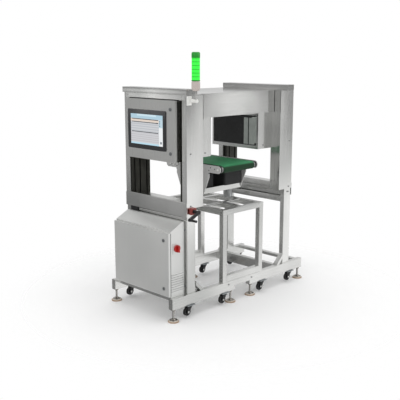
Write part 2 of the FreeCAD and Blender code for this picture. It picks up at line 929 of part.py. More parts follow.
def column(side, end):
    """A column of the lifting frame: a wide tube with an inner wall beside the post."""
    x = side_span(side, column_inset, column_width)
    y = end_span(end, column_front, column_depth)
    z = (crossbar_bottom, column_top)
    outer = block(x, y, z)
    outer = outer.makeFillet(tube_round / 2, along(outer, 2))
    cells = []
    inner_y = end_span(end, column_front + column_wall, column_depth - 2 * column_wall)
    through = (z[0] - 1, z[1] + 1)
    post_cell = post_width + 2 * column_clear
    cells.append(block(side_span(side, column_inset + column_wall, post_cell), inner_y, through))
    start = column_inset + post_cell + 2 * column_wall
    rest = column_width - post_cell - 3 * column_wall
    cells.append(block(side_span(side, start, rest), inner_y, through))
    return outer.cut(cells)


def tower_columns():
    """Four columns, each tower's crossbar with its cover plate, and the front profiles' covers."""
    pieces = []
    for side in (-1, 1):
        for end in (-1, 1):
            pieces.append(column(side, end))
        x = side_span(side, column_inset + column_wall, post_width)
        y = (end_y(-1, profile_front), end_y(1, profile_front))
        bar = tube(x, y, (crossbar_bottom, crossbar_top), 1)
        cover_x = side_span(side, column_inset - crossbar_cover_thick, crossbar_cover_thick)
        cover_top = crossbar_top - 3
        cover_y = (end_y(-1, column_front), end_y(1, column_front))
        cover = block(cover_x, cover_y, (cover_top - crossbar_cover_height, cover_top))
        web = block(side_span(side, column_inset, column_wall), y, (crossbar_bottom + 4, cover_top))
        pieces.append(bar)
        pieces.append(cover.fuse(web).removeSplitter())
        strip_x = side_span(side, inner_inset - profile_cover_thick, profile_cover_thick)
        strip_y = end_span(-1, profile_front, profile_depth)
        pieces.append(block(strip_x, strip_y, (crossbar_bottom, column_top)))
    return pieces


def slot_steps():
    """The half width, start depth and end depth of a slot's mouth and of its wider inside."""
    return (
        (profile_slot / 2, -1, profile_lip + 1),
        (profile_slot_inside / 2, profile_lip, profile_slot_depth),
    )


def guide_profile(side, end):
    """A slotted profile behind a column: two slots to the window, one each side, and a foot."""
    width = profile_width
    if end < 0:
        width -= profile_cover_thick
    x = side_span(side, profile_outer_inset, width)
    y = end_span(end, profile_front, profile_depth)
    through = (crossbar_bottom - 1, column_top + 1)
    shape = block(x, y, (crossbar_top, column_top))
    foot_inset_x = column_inset + column_wall + post_width + profile_fit
    foot_width = profile_outer_inset + width - foot_inset_x
    foot = block(side_span(side, foot_inset_x, foot_width), y, (crossbar_bottom, crossbar_top))
    cuts = []
    face = end_y(end, window_front)
    for share in (0.25, 0.75):
        centre = x[0] + share * width
        for half, start, depth in slot_steps():
            cut = (face + end * start, face + end * depth)
            cuts.append(block((centre - half, centre + half), cut, through))
    centre = end_y(end, profile_front + profile_depth / 2)
    for x_face, inward in ((x[0], 1), (x[1], -1)):
        for half, start, depth in slot_steps():
            cut = (x_face + inward * start, x_face + inward * depth)
            cuts.append(block(cut, (centre - half, centre + half), through))
    return shape.fuse(foot).cut(cuts).removeSplitter()


def guide_profiles():
    """Four slotted profiles, one behind each column."""
    return [guide_profile(side, end) for side in (-1, 1) for end in (-1, 1)]


def roof_plate():
    """The top plate over both towers, cut back between them to the line of the beam."""
    x0 = side_x(-1, column_inset)
    x1 = side_x(1, column_inset)
    y0 = end_y(-1, column_front)
    y1 = end_y(1, column_front)
    plate = block((x0, x1), (y0, y1), (column_top, roof_top))
    notch = block(
        (side_x(-1, inner_inset), side_x(1, inner_inset)),
        (y0 - 1, end_y(-1, beam_setback)),
        (column_top - 1, roof_top + 1),
    )
    return plate.cut(notch)


def tower_cap(side):
    """The long cap on top of a tower: an upturned trough with closed ends."""
    x = side_span(side, column_inset - 1.5, cap_width)
    y = (end_y(-1, column_front), back_face + cap_overhang)
    z = (roof_top, roof_top + cap_height)
    cap = block(x, y, z)
    cap = cap.makeFillet(tube_round / 2, along(cap, 1))
    inside = block(
        (x[0] + cap_wall, x[1] - cap_wall), (y[0] + cap_wall, y[1] - cap_wall), (z[0] - 1, z[1] - cap_wall)
    )
    return cap.cut(inside)


def top_covers():
    """Roof plate, tower caps, and the aprons between the columns under the roof."""
    pieces = [roof_plate()]
    for side in (-1, 1):
        pieces.append(tower_cap(side))
        x = side_span(side, column_inset, column_wall)
        y = (end_y(-1, profile_front), end_y(1, profile_front))
        pieces.append(block(x, y, (panel_box_top + apron_gap, column_top)))
    return pieces


def gantry_beam():
    """Two folded beams between the towers, front and back, with flanges turned in."""
    beams = []
    for end in (-1, 1):
        y0 = end_y(end, beam_setback)
        towards = -end
        points = [
            (y0, beam_bottom),
            (y0, column_top),
            (y0 + towards * beam_flange, column_top),
            (y0 + towards * beam_flange, column_top - beam_wall),
            (y0 + towards * beam_wall, column_top - beam_wall),
            (y0 + towards * beam_wall, beam_bottom + beam_wall),
            (y0 + towards * beam_flange, beam_bottom + beam_wall),
            (y0 + towards * beam_flange, beam_bottom),
        ]
        x0 = side_x(-1, inner_inset)
        beams.append(sheet(points, 0, x0, -2 * x0))
    return beams


def camera_box(side):
    """The X, Y and Z stretches of a camera housing."""
    x = side_span(side, inner_inset, camera_reach)
    y = (end_y(-1, camera_setback), end_y(1, camera_setback))
    return x, y, (camera_bottom, column_top)


def window_box(side, margin):
    """The window opening of a camera housing, grown by a margin, through its inner wall."""
    x, y, z = camera_box(side)
    inner = side_x(side, inner_inset + camera_reach)
    z0 = z[0] + window_frame_bottom
    return (
        inner,
        (y[0] + window_frame_side - margin, y[1] - window_frame_side + margin),
        (z0 - margin, z0 + window_height + margin),
    )


def camera_housings():
    """Sheet housings on the inner side of each tower, each with a window over the belt."""
    housings = []
    for side in (-1, 1):
        x, y, z = camera_box(side)
        box = block(x, y, z)
        box = box.makeFillet(tube_round / 2, along(box, 2))
        back = side_x(side, inner_inset)
        inner, wy, wz = window_box(side, 0)
        room = block(
            (back - side * camera_wall, inner + side * camera_wall),
            (y[0] + camera_wall, y[1] - camera_wall),
            (z[0] + camera_wall, z[1] - camera_wall),
        )
        window = block((inner - side, inner + side * (camera_wall + 1)), wy, wz)
        housings.append(box.cut([room, window]))
    return housings


def camera_windows():
    """Dark glass panes seated behind the window openings."""
    panes = []
    for side in (-1, 1):
        inner, y, z = window_box(side, window_lip)
        start = inner + side * camera_wall
        panes.append(block((start, start + side * window_thick), y, z))
    return panes


def camera_units():
    """Behind each pane: a bracket plate, a camera with its lens and two light bars."""
    pieces = []
    for side in (-1, 1):
        inner, y, z = window_box(side, 0)
        glass = inner + side * (camera_wall + window_thick)
        x, box_y, box_z = camera_box(side)
        plate_x = (glass + side * 60, glass + side * 63)
        plate = block(plate_x, (y[0] + 10, y[1] - 10), (box_z[0] + camera_wall, z[1] - 10))
        middle_z = (z[0] + z[1]) / 2
        body = block(
            (glass + side * 22, glass + side * 60),
            (middle_y - camera_body / 2, middle_y + camera_body / 2),
            (middle_z - camera_body / 2, middle_z + camera_body / 2),
        )
        lens = rod((glass + side * 22, middle_y, middle_z), 18.0, 18.0, (-side, 0, 0))
        bars = []
        bar_x = (glass + side * 3, glass + side * 60)
        for place in (y[0] + 30, y[1] - 30 - light_bar_width):
            bars.append(block(bar_x, (place, place + light_bar_width), (z[0] + 10, z[1] - 10)))
        pieces.append(plate.fuse([body, lens] + bars).removeSplitter())
    return pieces


def lift_nut():
    """The nut on its long tube, which hangs from the roof plate inside the driven post."""
    x = side_x(-1, post_mid_inset)
    y = end_y(-1, post_mid_front)
    tube_solid = rod((x, y, nut_bottom), nut_tube_radius, column_top - nut_bottom, (0, 0, 1))
    nut_bore = rod((x, y, nut_bottom - 1), screw_radius + journal_fit, nut_height + 2, (0, 0, 1))
    room = rod((x, y, nut_bottom + nut_height), screw_radius + 1, column_top - nut_bottom, (0, 0, 1))
    return tube_solid.cut([nut_bore, room])


def lift_screw():
    """The lifting screw with its plain foot journal and its mitre gear."""
    x = side_x(-1, post_mid_inset)
    y = end_y(-1, post_mid_front)
    gear_top = shaft_height + gear_radius + gear_gap
    gear_foot = Vector(x, y, gear_top - gear_width)
    gear = Part.makeCone(gear_radius - gear_width, gear_radius, gear_width, gear_foot, Vector(0, 0, 1))
    boss = rod((x, y, gear_top), gear_radius - 1, gear_boss - gear_gap, (0, 0, 1))
    thread_foot = bearing_top + gear_gap
    journal = rod((x, y, gear_top), screw_journal, thread_foot - gear_top + 1, (0, 0, 1))
    thread = rod((x, y, thread_foot), screw_radius, screw_top - thread_foot, (0, 0, 1))
    return gear.fuse([boss, journal, thread]).removeSplitter()


def crank_front():
    """The Y of the front of the position indicator, where the crank hub starts."""
    return end_y(-1, post_setback) - flange_thick - indicator_depth


def lift_crank():
    """The crank: hub, slanting arm and grip pin in front, shaft and mitre gear behind."""
    x = side_x(-1, post_mid_inset)
    z = shaft_height
    hub_back = crank_front() - gear_gap
    hub_front = hub_back - crank_hub_length
    hub = rod((x, hub_front, z), crank_hub_radius, crank_hub_length, (0, 1, 0))
    gear_back = end_y(-1, post_mid_front) - gear_radius - gear_gap
    gear = Part.makeCone(
        gear_radius, gear_radius - gear_width, gear_width, Vector(x, gear_back, z), Vector(0, 1, 0)
    )
    shaft = rod((x, hub_front + 2, z), shaft_radius, gear_back - hub_front, (0, 1, 0))
    end_x = x - crank_arm_side
    end_z = z - crank_arm_drop
    reach = math.hypot(crank_arm_side, crank_arm_drop)
    lean = math.degrees(math.atan2(crank_arm_drop, crank_arm_side))
    bar = Part.makeBox(reach, crank_arm_thick, 2 * grip_radius, Vector(-reach, 0, -grip_radius))
    bar.rotate(Vector(0, 0, 0), Vector(0, 1, 0), -lean)
    bar.translate(Vector(x, hub_front, z))
    boss = rod((end_x, hub_front, end_z), grip_radius + 1, crank_arm_thick, (0, 1, 0))
    pin_front = front_face - front_reach + 3
    pin = rod((end_x, pin_front, end_z), 3.0, hub_front - pin_front + 1, (0, 1, 0))
    return hub.fuse([gear, shaft, bar, boss, pin]).removeSplitter()


def crank_grip():
    """The turning sleeve of the crank handle, slightly waisted."""
    x = side_x(-1, post_mid_inset) - crank_arm_side
    z = shaft_height - crank_arm_drop
    y0 = front_face - front_reach
    y1 = crank_front() - gear_gap - crank_hub_length - gear_gap
    middle = (y0 + y1) / 2
    profile = [
        Part.LineSegment(Vector(0, y0, 0), Vector(grip_radius - 1, y0, 0)).toShape(),
        Part.Arc(
            Vector(grip_radius - 1, y0, 0), Vector(grip_radius - 1.8, middle, 0), Vector(grip_radius, y1, 0)
        ).toShape(),
        Part.LineSegment(Vector(grip_radius, y1, 0), Vector(0, y1, 0)).toShape(),
        Part.LineSegment(Vector(0, y1, 0), Vector(0, y0, 0)).toShape(),
    ]
    sleeve = Part.Face(Part.Wire(profile)).revolve(Vector(0, 0, 0), Vector(0, 1, 0), 360)
    bore = rod((0, y0 + 3 - gear_gap, 0), 3.0 + journal_fit, y1 - y0, (0, 1, 0))
    sleeve = Part.makeSolid(sleeve.cut(bore).Shells[0])
    sleeve.translate(Vector(x, 0, z))
    return sleeve


def position_indicator():
    """The flange on the post and the counter box in front of it, on the crank shaft."""
    x = side_x(-1, post_mid_inset)
    face = end_y(-1, post_setback)
    flange = rod((x, face - flange_thick, shaft_height), flange_radius, flange_thick, (0, 1, 0))
    half_x = indicator_width / 2
    half_z = indicator_height / 2
    y = (crank_front(), face - flange_thick)
    box = rounded_box((x - half_x, x + half_x), y, (shaft_height - half_z, shaft_height + half_z), 3.0)
    bore_length = indicator_depth + flange_thick + 2
    bore = rod((x, y[0] - 1, shaft_height), shaft_radius + journal_fit, bore_length, (0, 1, 0))
    return flange.fuse(box).cut(bore).removeSplitter()


def panel_outline(fit):
    """The Y and Z stretches of the panel box, drawn in by a fit."""
    return (
        (panel_front_y + fit, panel_back_y - fit),
        (panel_box_bottom + fit, panel_box_top - fit),
    )


def hmi_box():
    """The box behind the operator panel, its hinge halves and the glands under it."""
    x0 = left_end + panel_box_front + panel_door_depth / 2
    x1 = side_x(-1, profile_outer_inset) - cabinet_gap
    inset = panel_box_fit + panel_box_wall
    y, z = panel_outline(inset)
    box = block((x0, x1), y, z)
    room_y, room_z = panel_outline(inset + panel_box_wall)
    room = block((x0 + panel_box_wall, x1 - panel_box_wall), room_y, room_z)
    mouth_y, mouth_z = panel_outline(inset + panel_box_wall + panel_rim)
    mouth = block((x0 - 1, x0 + panel_box_wall + 1), mouth_y, mouth_z)
    pieces = [box.cut([room, mouth])] + panel_knuckles(1)
    for index in range(3):
        x = x1 - gland_radius - 4
        place = y[0] + 24 + index * gland_pitch
        top = z[0]
        body = rod((x, place, top - 6), gland_radius, 6, (0, 0, 1))
        dome = rod((x, place, top - gland_length), gland_radius - 2, gland_length - 6, (0, 0, 1))
        pieces.append(body.fuse(dome).removeSplitter())
    return pieces


def panel_hinge_axis():
    """The X and Y of the panel door's hinge axis."""
    return left_end + panel_box_front + panel_door_depth, panel_back_y + hinge_radius + lock_fit


def panel_knuckles(part):
    """Door knuckles (0) or fixed knuckles (1) of the panel hinges."""
    x, y = panel_hinge_axis()
    half = hinge_length / 2
    box_side = panel_back_y - panel_box_fit - panel_box_wall
    pieces = []
    for z0 in (panel_box_bottom + hinge_end_margin, panel_box_top - hinge_end_margin - hinge_length):
        start = z0 + part * half
        z = (start + lock_fit, start + half - lock_fit)
        barrel = rod((x, y, z[0]), hinge_radius, z[1] - z[0], (0, 0, 1))
        if part == 0:
            leaf = block((x - hinge_radius - 2, x), (panel_back_y - 1, y), z)
            bore = rod((x, y, start - 1), hinge_radius / 2 + journal_fit, half + 2, (0, 0, 1))
            pieces.append(barrel.fuse(leaf).cut(bore))
        else:
            leaf = block((x + 1, x + 12), (box_side, box_side + hinge_leaf), z)
            neck = block((x + 1, x + hinge_radius), (box_side, y), z)
            pin = rod((x, y, z0 + lock_fit), hinge_radius / 2, hinge_length - 2 * lock_fit, (0, 0, 1))
            pieces.append(barrel.fuse([leaf, neck, pin]).removeSplitter())
    return pieces


def panel_lock_heights():
    """The heights of the two locks on the panel door."""
    return panel_box_bottom + panel_lock_margin, panel_box_top - panel_lock_margin


def bezel_place():
    """The Y and Z stretches of the operator panel's bezel."""
    y0 = front_face + bezel_setback
    return (y0, y0 + bezel_width), (bezel_bottom, bezel_bottom + bezel_height)


def hmi_door():
    """The pan door that carries the operator panel, with its cut-out and knuckles."""
    x0 = left_end + panel_box_front
    x1 = x0 + panel_door_depth
    y, z = panel_outline(0)
    pan = block((x0, x1), y, z)
    room_y, room_z = panel_outline(panel_box_wall)
    room = block((x0 + panel_box_wall, x1 + 1), room_y, room_z)
    cut_y, cut_z = bezel_place()
    margin = panel_body_margin - cabinet_gap
    cut_out = block(
        (x0 - 1, x0 + panel_box_wall + 1),
        (cut_y[0] + margin, cut_y[1] - margin),
        (cut_z[0] + margin, cut_z[1] - margin),
    )
    holes = [room, cut_out]
    for height in panel_lock_heights():
        start = (x0 - 1, panel_front_y + panel_lock_setback, height)
        holes.append(rod(start, lock_body_radius + lock_fit, panel_box_wall + 2, (1, 0, 0)))
    return pan.cut(holes).fuse(panel_knuckles(0)).removeSplitter()


def hmi_panel():
    """The operator panel: bezel with its rear body, and the screen pane set into it."""
    y, z = bezel_place()
    x1 = left_end + panel_box_front
    bezel = block((x1 - bezel_proud, x1), y, z)
    bezel = bezel.makeFillet(bezel_round, along(bezel, 0))
    margin = panel_body_margin
    body_y = (y[0] + margin, y[1] - margin)
    body = block((x1, x1 + panel_body_depth), body_y, (z[0] + margin, z[1] - margin))
    screen_y0 = y[0] + screen_side
    screen_y = (screen_y0, screen_y0 + screen_width)
    screen_z = (z[0] + screen_foot, z[0] + screen_foot + screen_height)
    front = x1 - bezel_proud
    pocket = block((front - 1, front + 2), screen_y, screen_z)
    pane = block((front + screen_recess, front + 2), screen_y, screen_z)
    return [bezel.fuse(body).cut(pocket).removeSplitter(), pane]


def light_bracket():
    """The bracket of the signal light: a plate on the column and a pin forwards."""
    face = end_y(-1, column_front)
    x0 = side_x(-1, column_inset)
    plate = rounded_box(
        (x0, x0 + bracket_width),
        (face - bracket_thick, face),
        (knuckle_height - bracket_height / 2, knuckle_height + bracket_height / 2),
        1.0,
    )
    back = light_y + knuckle_length / 2
    boss = rod((light_x, back, knuckle_height), knuckle_radius, face - back, (0, 1, 0))
    pin = rod((light_x, back - knuckle_length, knuckle_height), 4.0, knuckle_length + 2, (0, 1, 0))
    return plate.fuse([boss, pin]).removeSplitter()


def stack_light_pole():
    """The folding knuckle, the stem and the base of the signal light."""
    back = light_y + knuckle_length / 2 - gear_gap
    front = light_y - knuckle_length / 2 - 2
    knuckle = rod((light_x, front, knuckle_height), knuckle_radius, back - front, (0, 1, 0))
    stem_foot = knuckle_height
    stem = rod((light_x, light_y, stem_foot), stem_radius, light_base_bottom - stem_foot, (0, 0, 1))
    outline = [
        (0, light_base_bottom),
        (light_radius - 8, light_base_bottom),
        (light_radius, light_base_bottom + 10),
        (light_radius, light_lens_bottom - 8),
        (light_radius - 2, light_lens_bottom - 8),
        (light_radius - 2, light_lens_bottom),
        (0, light_lens_bottom),
    ]
    base = spin(outline, light_x, light_y)
    bore = rod((light_x, front + 2, knuckle_height), 4.0 + journal_fit, back - front, (0, 1, 0))
    return knuckle.fuse([stem, base]).cut(bore).removeSplitter()


def spin(outline, x, y):
    """A turned solid: an outline of radius and height pairs, spun about an upright axis."""
    corners = [Vector(x + radius, y, height) for radius, height in outline]
    corners.append(corners[0])
    return Part.Face(Part.makePolygon(corners)).revolve(Vector(x, y, 0), Vector(0, 0, 1), 360)


def stack_light_lens():
    """The lit lens and the darker cap over it."""
    lens = spin(
        [
            (0, light_lens_bottom),
            (light_radius - 1, light_lens_bottom),
            (light_radius - 1, light_cap_bottom),
            (0, light_cap_bottom),
        ],
        light_x,
        light_y,
    )
    cap = spin(
        [
            (0, light_cap_bottom),
            (light_radius, light_cap_bottom),
            (light_radius, light_top - 5),
            (light_radius - 5, light_top),
            (0, light_top),
        ],
        light_x,
        light_y,
    )
    return [lens, cap]


def foot_places():
    """The X and Y of the eight levelling feet."""
    places = []
    for side in (-1, 1):
        x0, x1 = skid_ends(side)
        for x in (x0 + foot_inset, x1 - foot_inset):
            for end in (-1, 1):
                places.append((x, end_y(end, skid_depth / 2)))
    return places


def feet_pads():
    """Round non-slip pads under the feet."""
    pads = []
    outline = [
        (0, 0),
        (pad_radius, 0),
        (pad_radius, pad_height - 2),
        (pad_radius - 2, pad_height),
        (0, pad_height),
    ]
    for x, y in foot_places():
        pads.append(spin(outline, x, y))
    return pads


def hex_nut(x, y, z0, z1):
    """A hexagonal nut body between two heights."""
    reach = nut_across_flats / math.sqrt(3)
    corners = []
    for step in range(6):
        angle = math.radians(60 * step)
        corners.append((x + reach * math.cos(angle), y + reach * math.sin(angle)))
    return sheet(corners, 2, z0, z1 - z0)


def feet_stems():
    """Domed foot plates with threaded stems, each with a jam nut under the skid."""
    stems = []
    for x, y in foot_places():
        top = pad_height + dome_height
        outline = [
            (0, pad_height),
            (pad_radius - 3, pad_height),
            (pad_radius - 4, pad_height + 3),
            (pad_radius / 2, top - 4),
            (stem_thread_radius + 4, top),
            (stem_thread_radius, top),
            (stem_thread_radius, skid_bottom),
            (0, skid_bottom),
        ]
        nut = hex_nut(x, y, skid_bottom - nut_thick, skid_bottom)
        stems.append(spin(outline, x, y).fuse(nut).removeSplitter())
    return stems


def castor_places():
    """The X and Y of the eight castor swivels, left to right, front before back."""
    places = []
    for side, insets in ((-1, castor_insets_left), (1, castor_insets_right)):
        x0, x1 = skid_ends(side)
        for x in (x0 + insets[0], x1 - insets[1]):
            for end in (-1, 1):
                places.append((x, end_y(end, skid_depth / 2)))
    return places


def castor_plates():
    """Castor top plates with their fixed races, under the skids."""
    plates = []
    top = skid_bottom
    for x, y in castor_places():
        half_x = castor_plate_length / 2
        half_y = castor_plate_depth / 2
        plate = rounded_box(
            (x - half_x, x + half_x), (y - half_y, y + half_y), (top - castor_plate_thick, top), 5.0
        )
        race_bottom = top - castor_plate_thick - swivel_race_height
        race = rod((x, y, race_bottom), swivel_race_radius, swivel_race_height, (0, 0, 1))
        plates.append(plate.fuse(race).removeSplitter())
    return plates


def castor_fork(x, y):
    """A castor fork: swivel disc, two tapered cheeks and the wheel's axle."""
    top = skid_bottom - castor_plate_thick - swivel_race_height - swivel_gap
    disc = rod((x, y, top - fork_thick), fork_disc_radius, fork_thick, (0, 0, 1))
    axle_x = x - castor_trail
    axle_z = wheel_lift + wheel_radius
    half = wheel_width / 2 + fork_clear
    cheeks = []
    for y0 in (y - half - fork_thick, y + half):
        outline = [
            (x - fork_disc_radius + 4, top - fork_thick),
            (x + fork_disc_radius - 6, top - fork_thick),
            (axle_x + 9, axle_z - 3),
            (axle_x - 9, axle_z - 3),
        ]
        cheek = sheet(outline, 1, y0, fork_thick)
        cheeks.append(cheek.fuse(rod((axle_x, y0, axle_z - 3), 9.0, fork_thick, (0, 1, 0))))
    reach = half + fork_thick
    bridge_x = (x - fork_disc_radius + 4, x + fork_disc_radius - 6)
    bridge = block(bridge_x, (y - reach, y + reach), (top - fork_thick, top))
    axle = rod((axle_x, y - reach - 2, axle_z), axle_radius, 2 * (reach + 2), (0, 1, 0))
    return disc.fuse(cheeks + [bridge, axle]).removeSplitter()


def castor_wheel(x, y):
    """A castor wheel with a rounded tread, recessed sides, a hub and an axle bore."""
    axle_x = x - castor_trail
    axle_z = wheel_lift + wheel_radius
    half = wheel_width / 2
    tread = half - 3
    hub = 9.0
    web = 3.5
    outline = [
        (0, -half),
        (hub, -half),
        (hub, -web),
        (wheel_radius - 7, -web),
        (wheel_radius - 6, -half + 1),
        (wheel_radius - 2, -half + 1),
        (wheel_radius, -tread),
        (wheel_radius, tread),
        (wheel_radius - 2, half - 1),
        (wheel_radius - 6, half - 1),
        (wheel_radius - 7, web),
        (hub, web),
        (hub, half),
        (0, half),
    ]
    wheel = spin(outline, 0, 0)
    wheel = wheel.cut(rod((0, 0, -half - 1), axle_radius + wheel_bore_fit, wheel_width + 2, (0, 0, 1)))
    wheel.rotate(Vector(0, 0, 0), Vector(1, 0, 0), 90)
    wheel.translate(Vector(axle_x, y, axle_z))
    return wheel


def bolt_head(x, y, z, direction):
    """A domed cap screw head standing on a face, pointing in a direction."""
    head = rod((x, y, z), bolt_radius, bolt_height, direction)
    return head.makeChamfer(1.0, [head.Edges[0]])


def frame_bolts():
    """Screw heads of the base, the stand, the posts and the ties."""
    heads = []
    forward = (0, -1, 0)
    face = front_face
    link_z = skid_top - link_height / 2
    for x in (gap_left - link_bolt_left, gap_right + link_bolt_right):
        heads.append(bolt_head(x, face, link_z, forward))
        heads.append(bolt_head(x, back_face, link_z, (0, 1, 0)))
    tie_z = tie_bottom + tie_height / 2
    for side in (-1, 1):
        for end in (-1, 1):
            if side < 0 and end < 0:
                continue
            y = end_y(end, post_setback)
            heads.append(bolt_head(side_x(side, post_mid_inset), y, tie_z, (0, end, 0)))
    rail_z = stand_top - rail_height / 2
    for out in (-1, 1):
        x = out * stand_width / 2
        for end in (-1, 1):
            for z in (skid_top + foot_rail_height / 2, rail_z):
                heads.append(bolt_head(x, end_y(end, skid_depth / 2), z, (out, 0, 0)))
    return heads


def moved(shape, x, y, z):
    """A copy of a shape carried to a place."""
    copy = shape.copy()
    copy.translate(Vector(x, y, z))
    return copy


os.makedirs("parts", exist_ok=True)

save("base_frame", base_frame())
save("tower_posts", tower_posts())
save("post_braces", post_braces())
save("stand_frame", stand_frame())
save("side_plates", side_plates())
save("conveyor_belt", conveyor_belt())
save("slider_bed", slider_bed())
save("roller_bearings", roller_bearings())
save("weigh_tray", weigh_tray())
save("load_cells", load_cells())
save("drive_boxes", drive_boxes())
save("tail_roller", moved(roller(), 0, front_roller, roller_height))
save("drive_roller", moved(roller(), 0, back_roller, roller_height))

save("cabinet_shell", cabinet_shell())
save("cabinet_electronics", cabinet_electronics())
save("cabinet_fittings", cabinet_fittings())
save("cabinet_door", cabinet_door())
for name, height in zip(("bottom", "top"), lock_heights_cabinet()):
    behind_rim = cabinet_door_depth + cabinet_door_gap + cabinet_wall + lock_fit
    lock = quarter_lock(behind_rim, lock_setback - cabinet_rim / 2)
    save(f"cabinet_lock_{name}", moved(lock, left_end, cabinet_front_y + lock_setback, height))
save("main_switch", moved(main_switch(), left_end + switch_from_front, cabinet_front_y, switch_height))

save("position_indicator", position_indicator())
save("lift_crank", lift_crank())
save("crank_grip", crank_grip())
save("lift_screw", lift_screw())
save("lift_nut", lift_nut())

save("tower_columns", tower_columns())
save("guide_profiles", guide_profiles())
save("top_covers", top_covers())
save("gantry_beam", gantry_beam())
save("camera_housings", camera_housings())
save("camera_windows", camera_windows())
save("camera_units", camera_units())

save("hmi_box", hmi_box())
save("hmi_door", hmi_door())
save("hmi_panel", hmi_panel())
for name, height in zip(("bottom", "top"), panel_lock_heights()):
    behind_rim = panel_door_depth / 2 + panel_box_wall + lock_fit
    rim_middle = panel_box_fit + 2 * panel_box_wall + panel_rim / 2
    lock = quarter_lock(behind_rim, panel_lock_setback - rim_middle)
    place = panel_front_y + panel_lock_setback
    save(f"hmi_lock_{name}", moved(lock, left_end + panel_box_front, place, height))

save("light_bracket", light_bracket())
save("stack_light_pole", stack_light_pole())
save("stack_light_lens", stack_light_lens())

save("feet_pads", feet_pads())
save("feet_stems", feet_stems())
save("castor_plates", castor_plates())
for number, (x, y) in enumerate(castor_places(), start=1):
    save(f"castor_fork_{number}", castor_fork(x, y))
    save(f"castor_wheel_{number}", castor_wheel(x, y))
save("frame_bolts", frame_bolts())
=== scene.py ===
import json
import math

import bmesh
import bpy
import numpy as np
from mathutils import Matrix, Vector


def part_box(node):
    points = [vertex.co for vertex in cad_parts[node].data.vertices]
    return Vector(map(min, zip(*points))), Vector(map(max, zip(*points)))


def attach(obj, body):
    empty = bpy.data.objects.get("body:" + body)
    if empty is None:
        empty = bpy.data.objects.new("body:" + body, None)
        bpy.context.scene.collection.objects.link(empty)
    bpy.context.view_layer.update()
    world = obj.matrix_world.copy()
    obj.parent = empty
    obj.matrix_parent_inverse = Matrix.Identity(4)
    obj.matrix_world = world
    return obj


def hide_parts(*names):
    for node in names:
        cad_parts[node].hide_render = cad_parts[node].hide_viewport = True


# A stainless checkweigher: a short green belt on load cells, inside a lifting frame with
# camera housings, an operator panel, a signal light and a control cabinet.
# Places and sizes of pieces are in millimetres; X runs across the belt, Y along it, Z up.

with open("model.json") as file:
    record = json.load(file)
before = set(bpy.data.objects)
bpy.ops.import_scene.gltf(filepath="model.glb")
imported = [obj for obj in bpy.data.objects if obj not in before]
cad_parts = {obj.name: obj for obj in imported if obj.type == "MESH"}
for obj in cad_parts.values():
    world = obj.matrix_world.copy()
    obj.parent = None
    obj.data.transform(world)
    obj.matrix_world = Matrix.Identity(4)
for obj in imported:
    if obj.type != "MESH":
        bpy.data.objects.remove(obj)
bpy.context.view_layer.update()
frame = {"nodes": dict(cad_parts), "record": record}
record = frame["record"]
bodies = record["behaviour"]["bodies"].items()
body_of = {member: body for body, members in bodies for member in members}
front, back, left, right, up = (0, -1, 0), (0, 1, 0), (-1, 0, 0), (1, 0, 0), (0, 0, 1)


def span(node):
    """The lowest and highest corner of a node, in millimetres to a thousandth."""
    return [np.round(np.array(corner) * 1000, 3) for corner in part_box(node)]


def near(a, b, reach):
    """Where two lengths lie within a reach of each other."""
    return np.abs(a - b) < reach


# Finishes


def colour(code):
    """A hex sRGB colour as linear red, green, blue and full alpha."""
    parts = [int(code[i : i + 2], 16) / 255 for i in (1, 3, 5)]
    return tuple(c / 12.92 if c <= 0.04045 else ((c + 0.055) / 1.055) ** 2.4 for c in parts) + (1.0,)


def add(tree, kind, links=None, stops=(), **settings):
    """A node with its settings; links gives each socket a value or another node's output.

    Stops are the positions and hex colours of a colour ramp, lowest first.
    """
    made = tree.nodes.new(kind)
    for name, value in settings.items():
        setattr(made, name, value)
    for socket, value in (links or {}).items():
        if isinstance(value, tuple) and isinstance(value[0], bpy.types.Node):
            tree.links.new(value[0].outputs[value[1]], made.inputs[socket])
        else:
            made.inputs[socket].default_value = value
    if stops:
        elements = made.color_ramp.elements
        elements.remove(elements[1])
        elements[0].position, elements[0].color = stops[0][0], colour(stops[0][1])
        for position, code in stops[1:]:
            elements.new(position).color = colour(code)
    return made


def material(name):
    """A new material with its tree, its shader and its object coordinates."""
    made = bpy.data.materials.new(name)
    made.use_nodes = True
    tree = made.node_tree
    place = add(tree, "ShaderNodeTexCoord")
    return made, tree, tree.nodes["Principled BSDF"], (place, "Object")


relief_depth = 0.0003


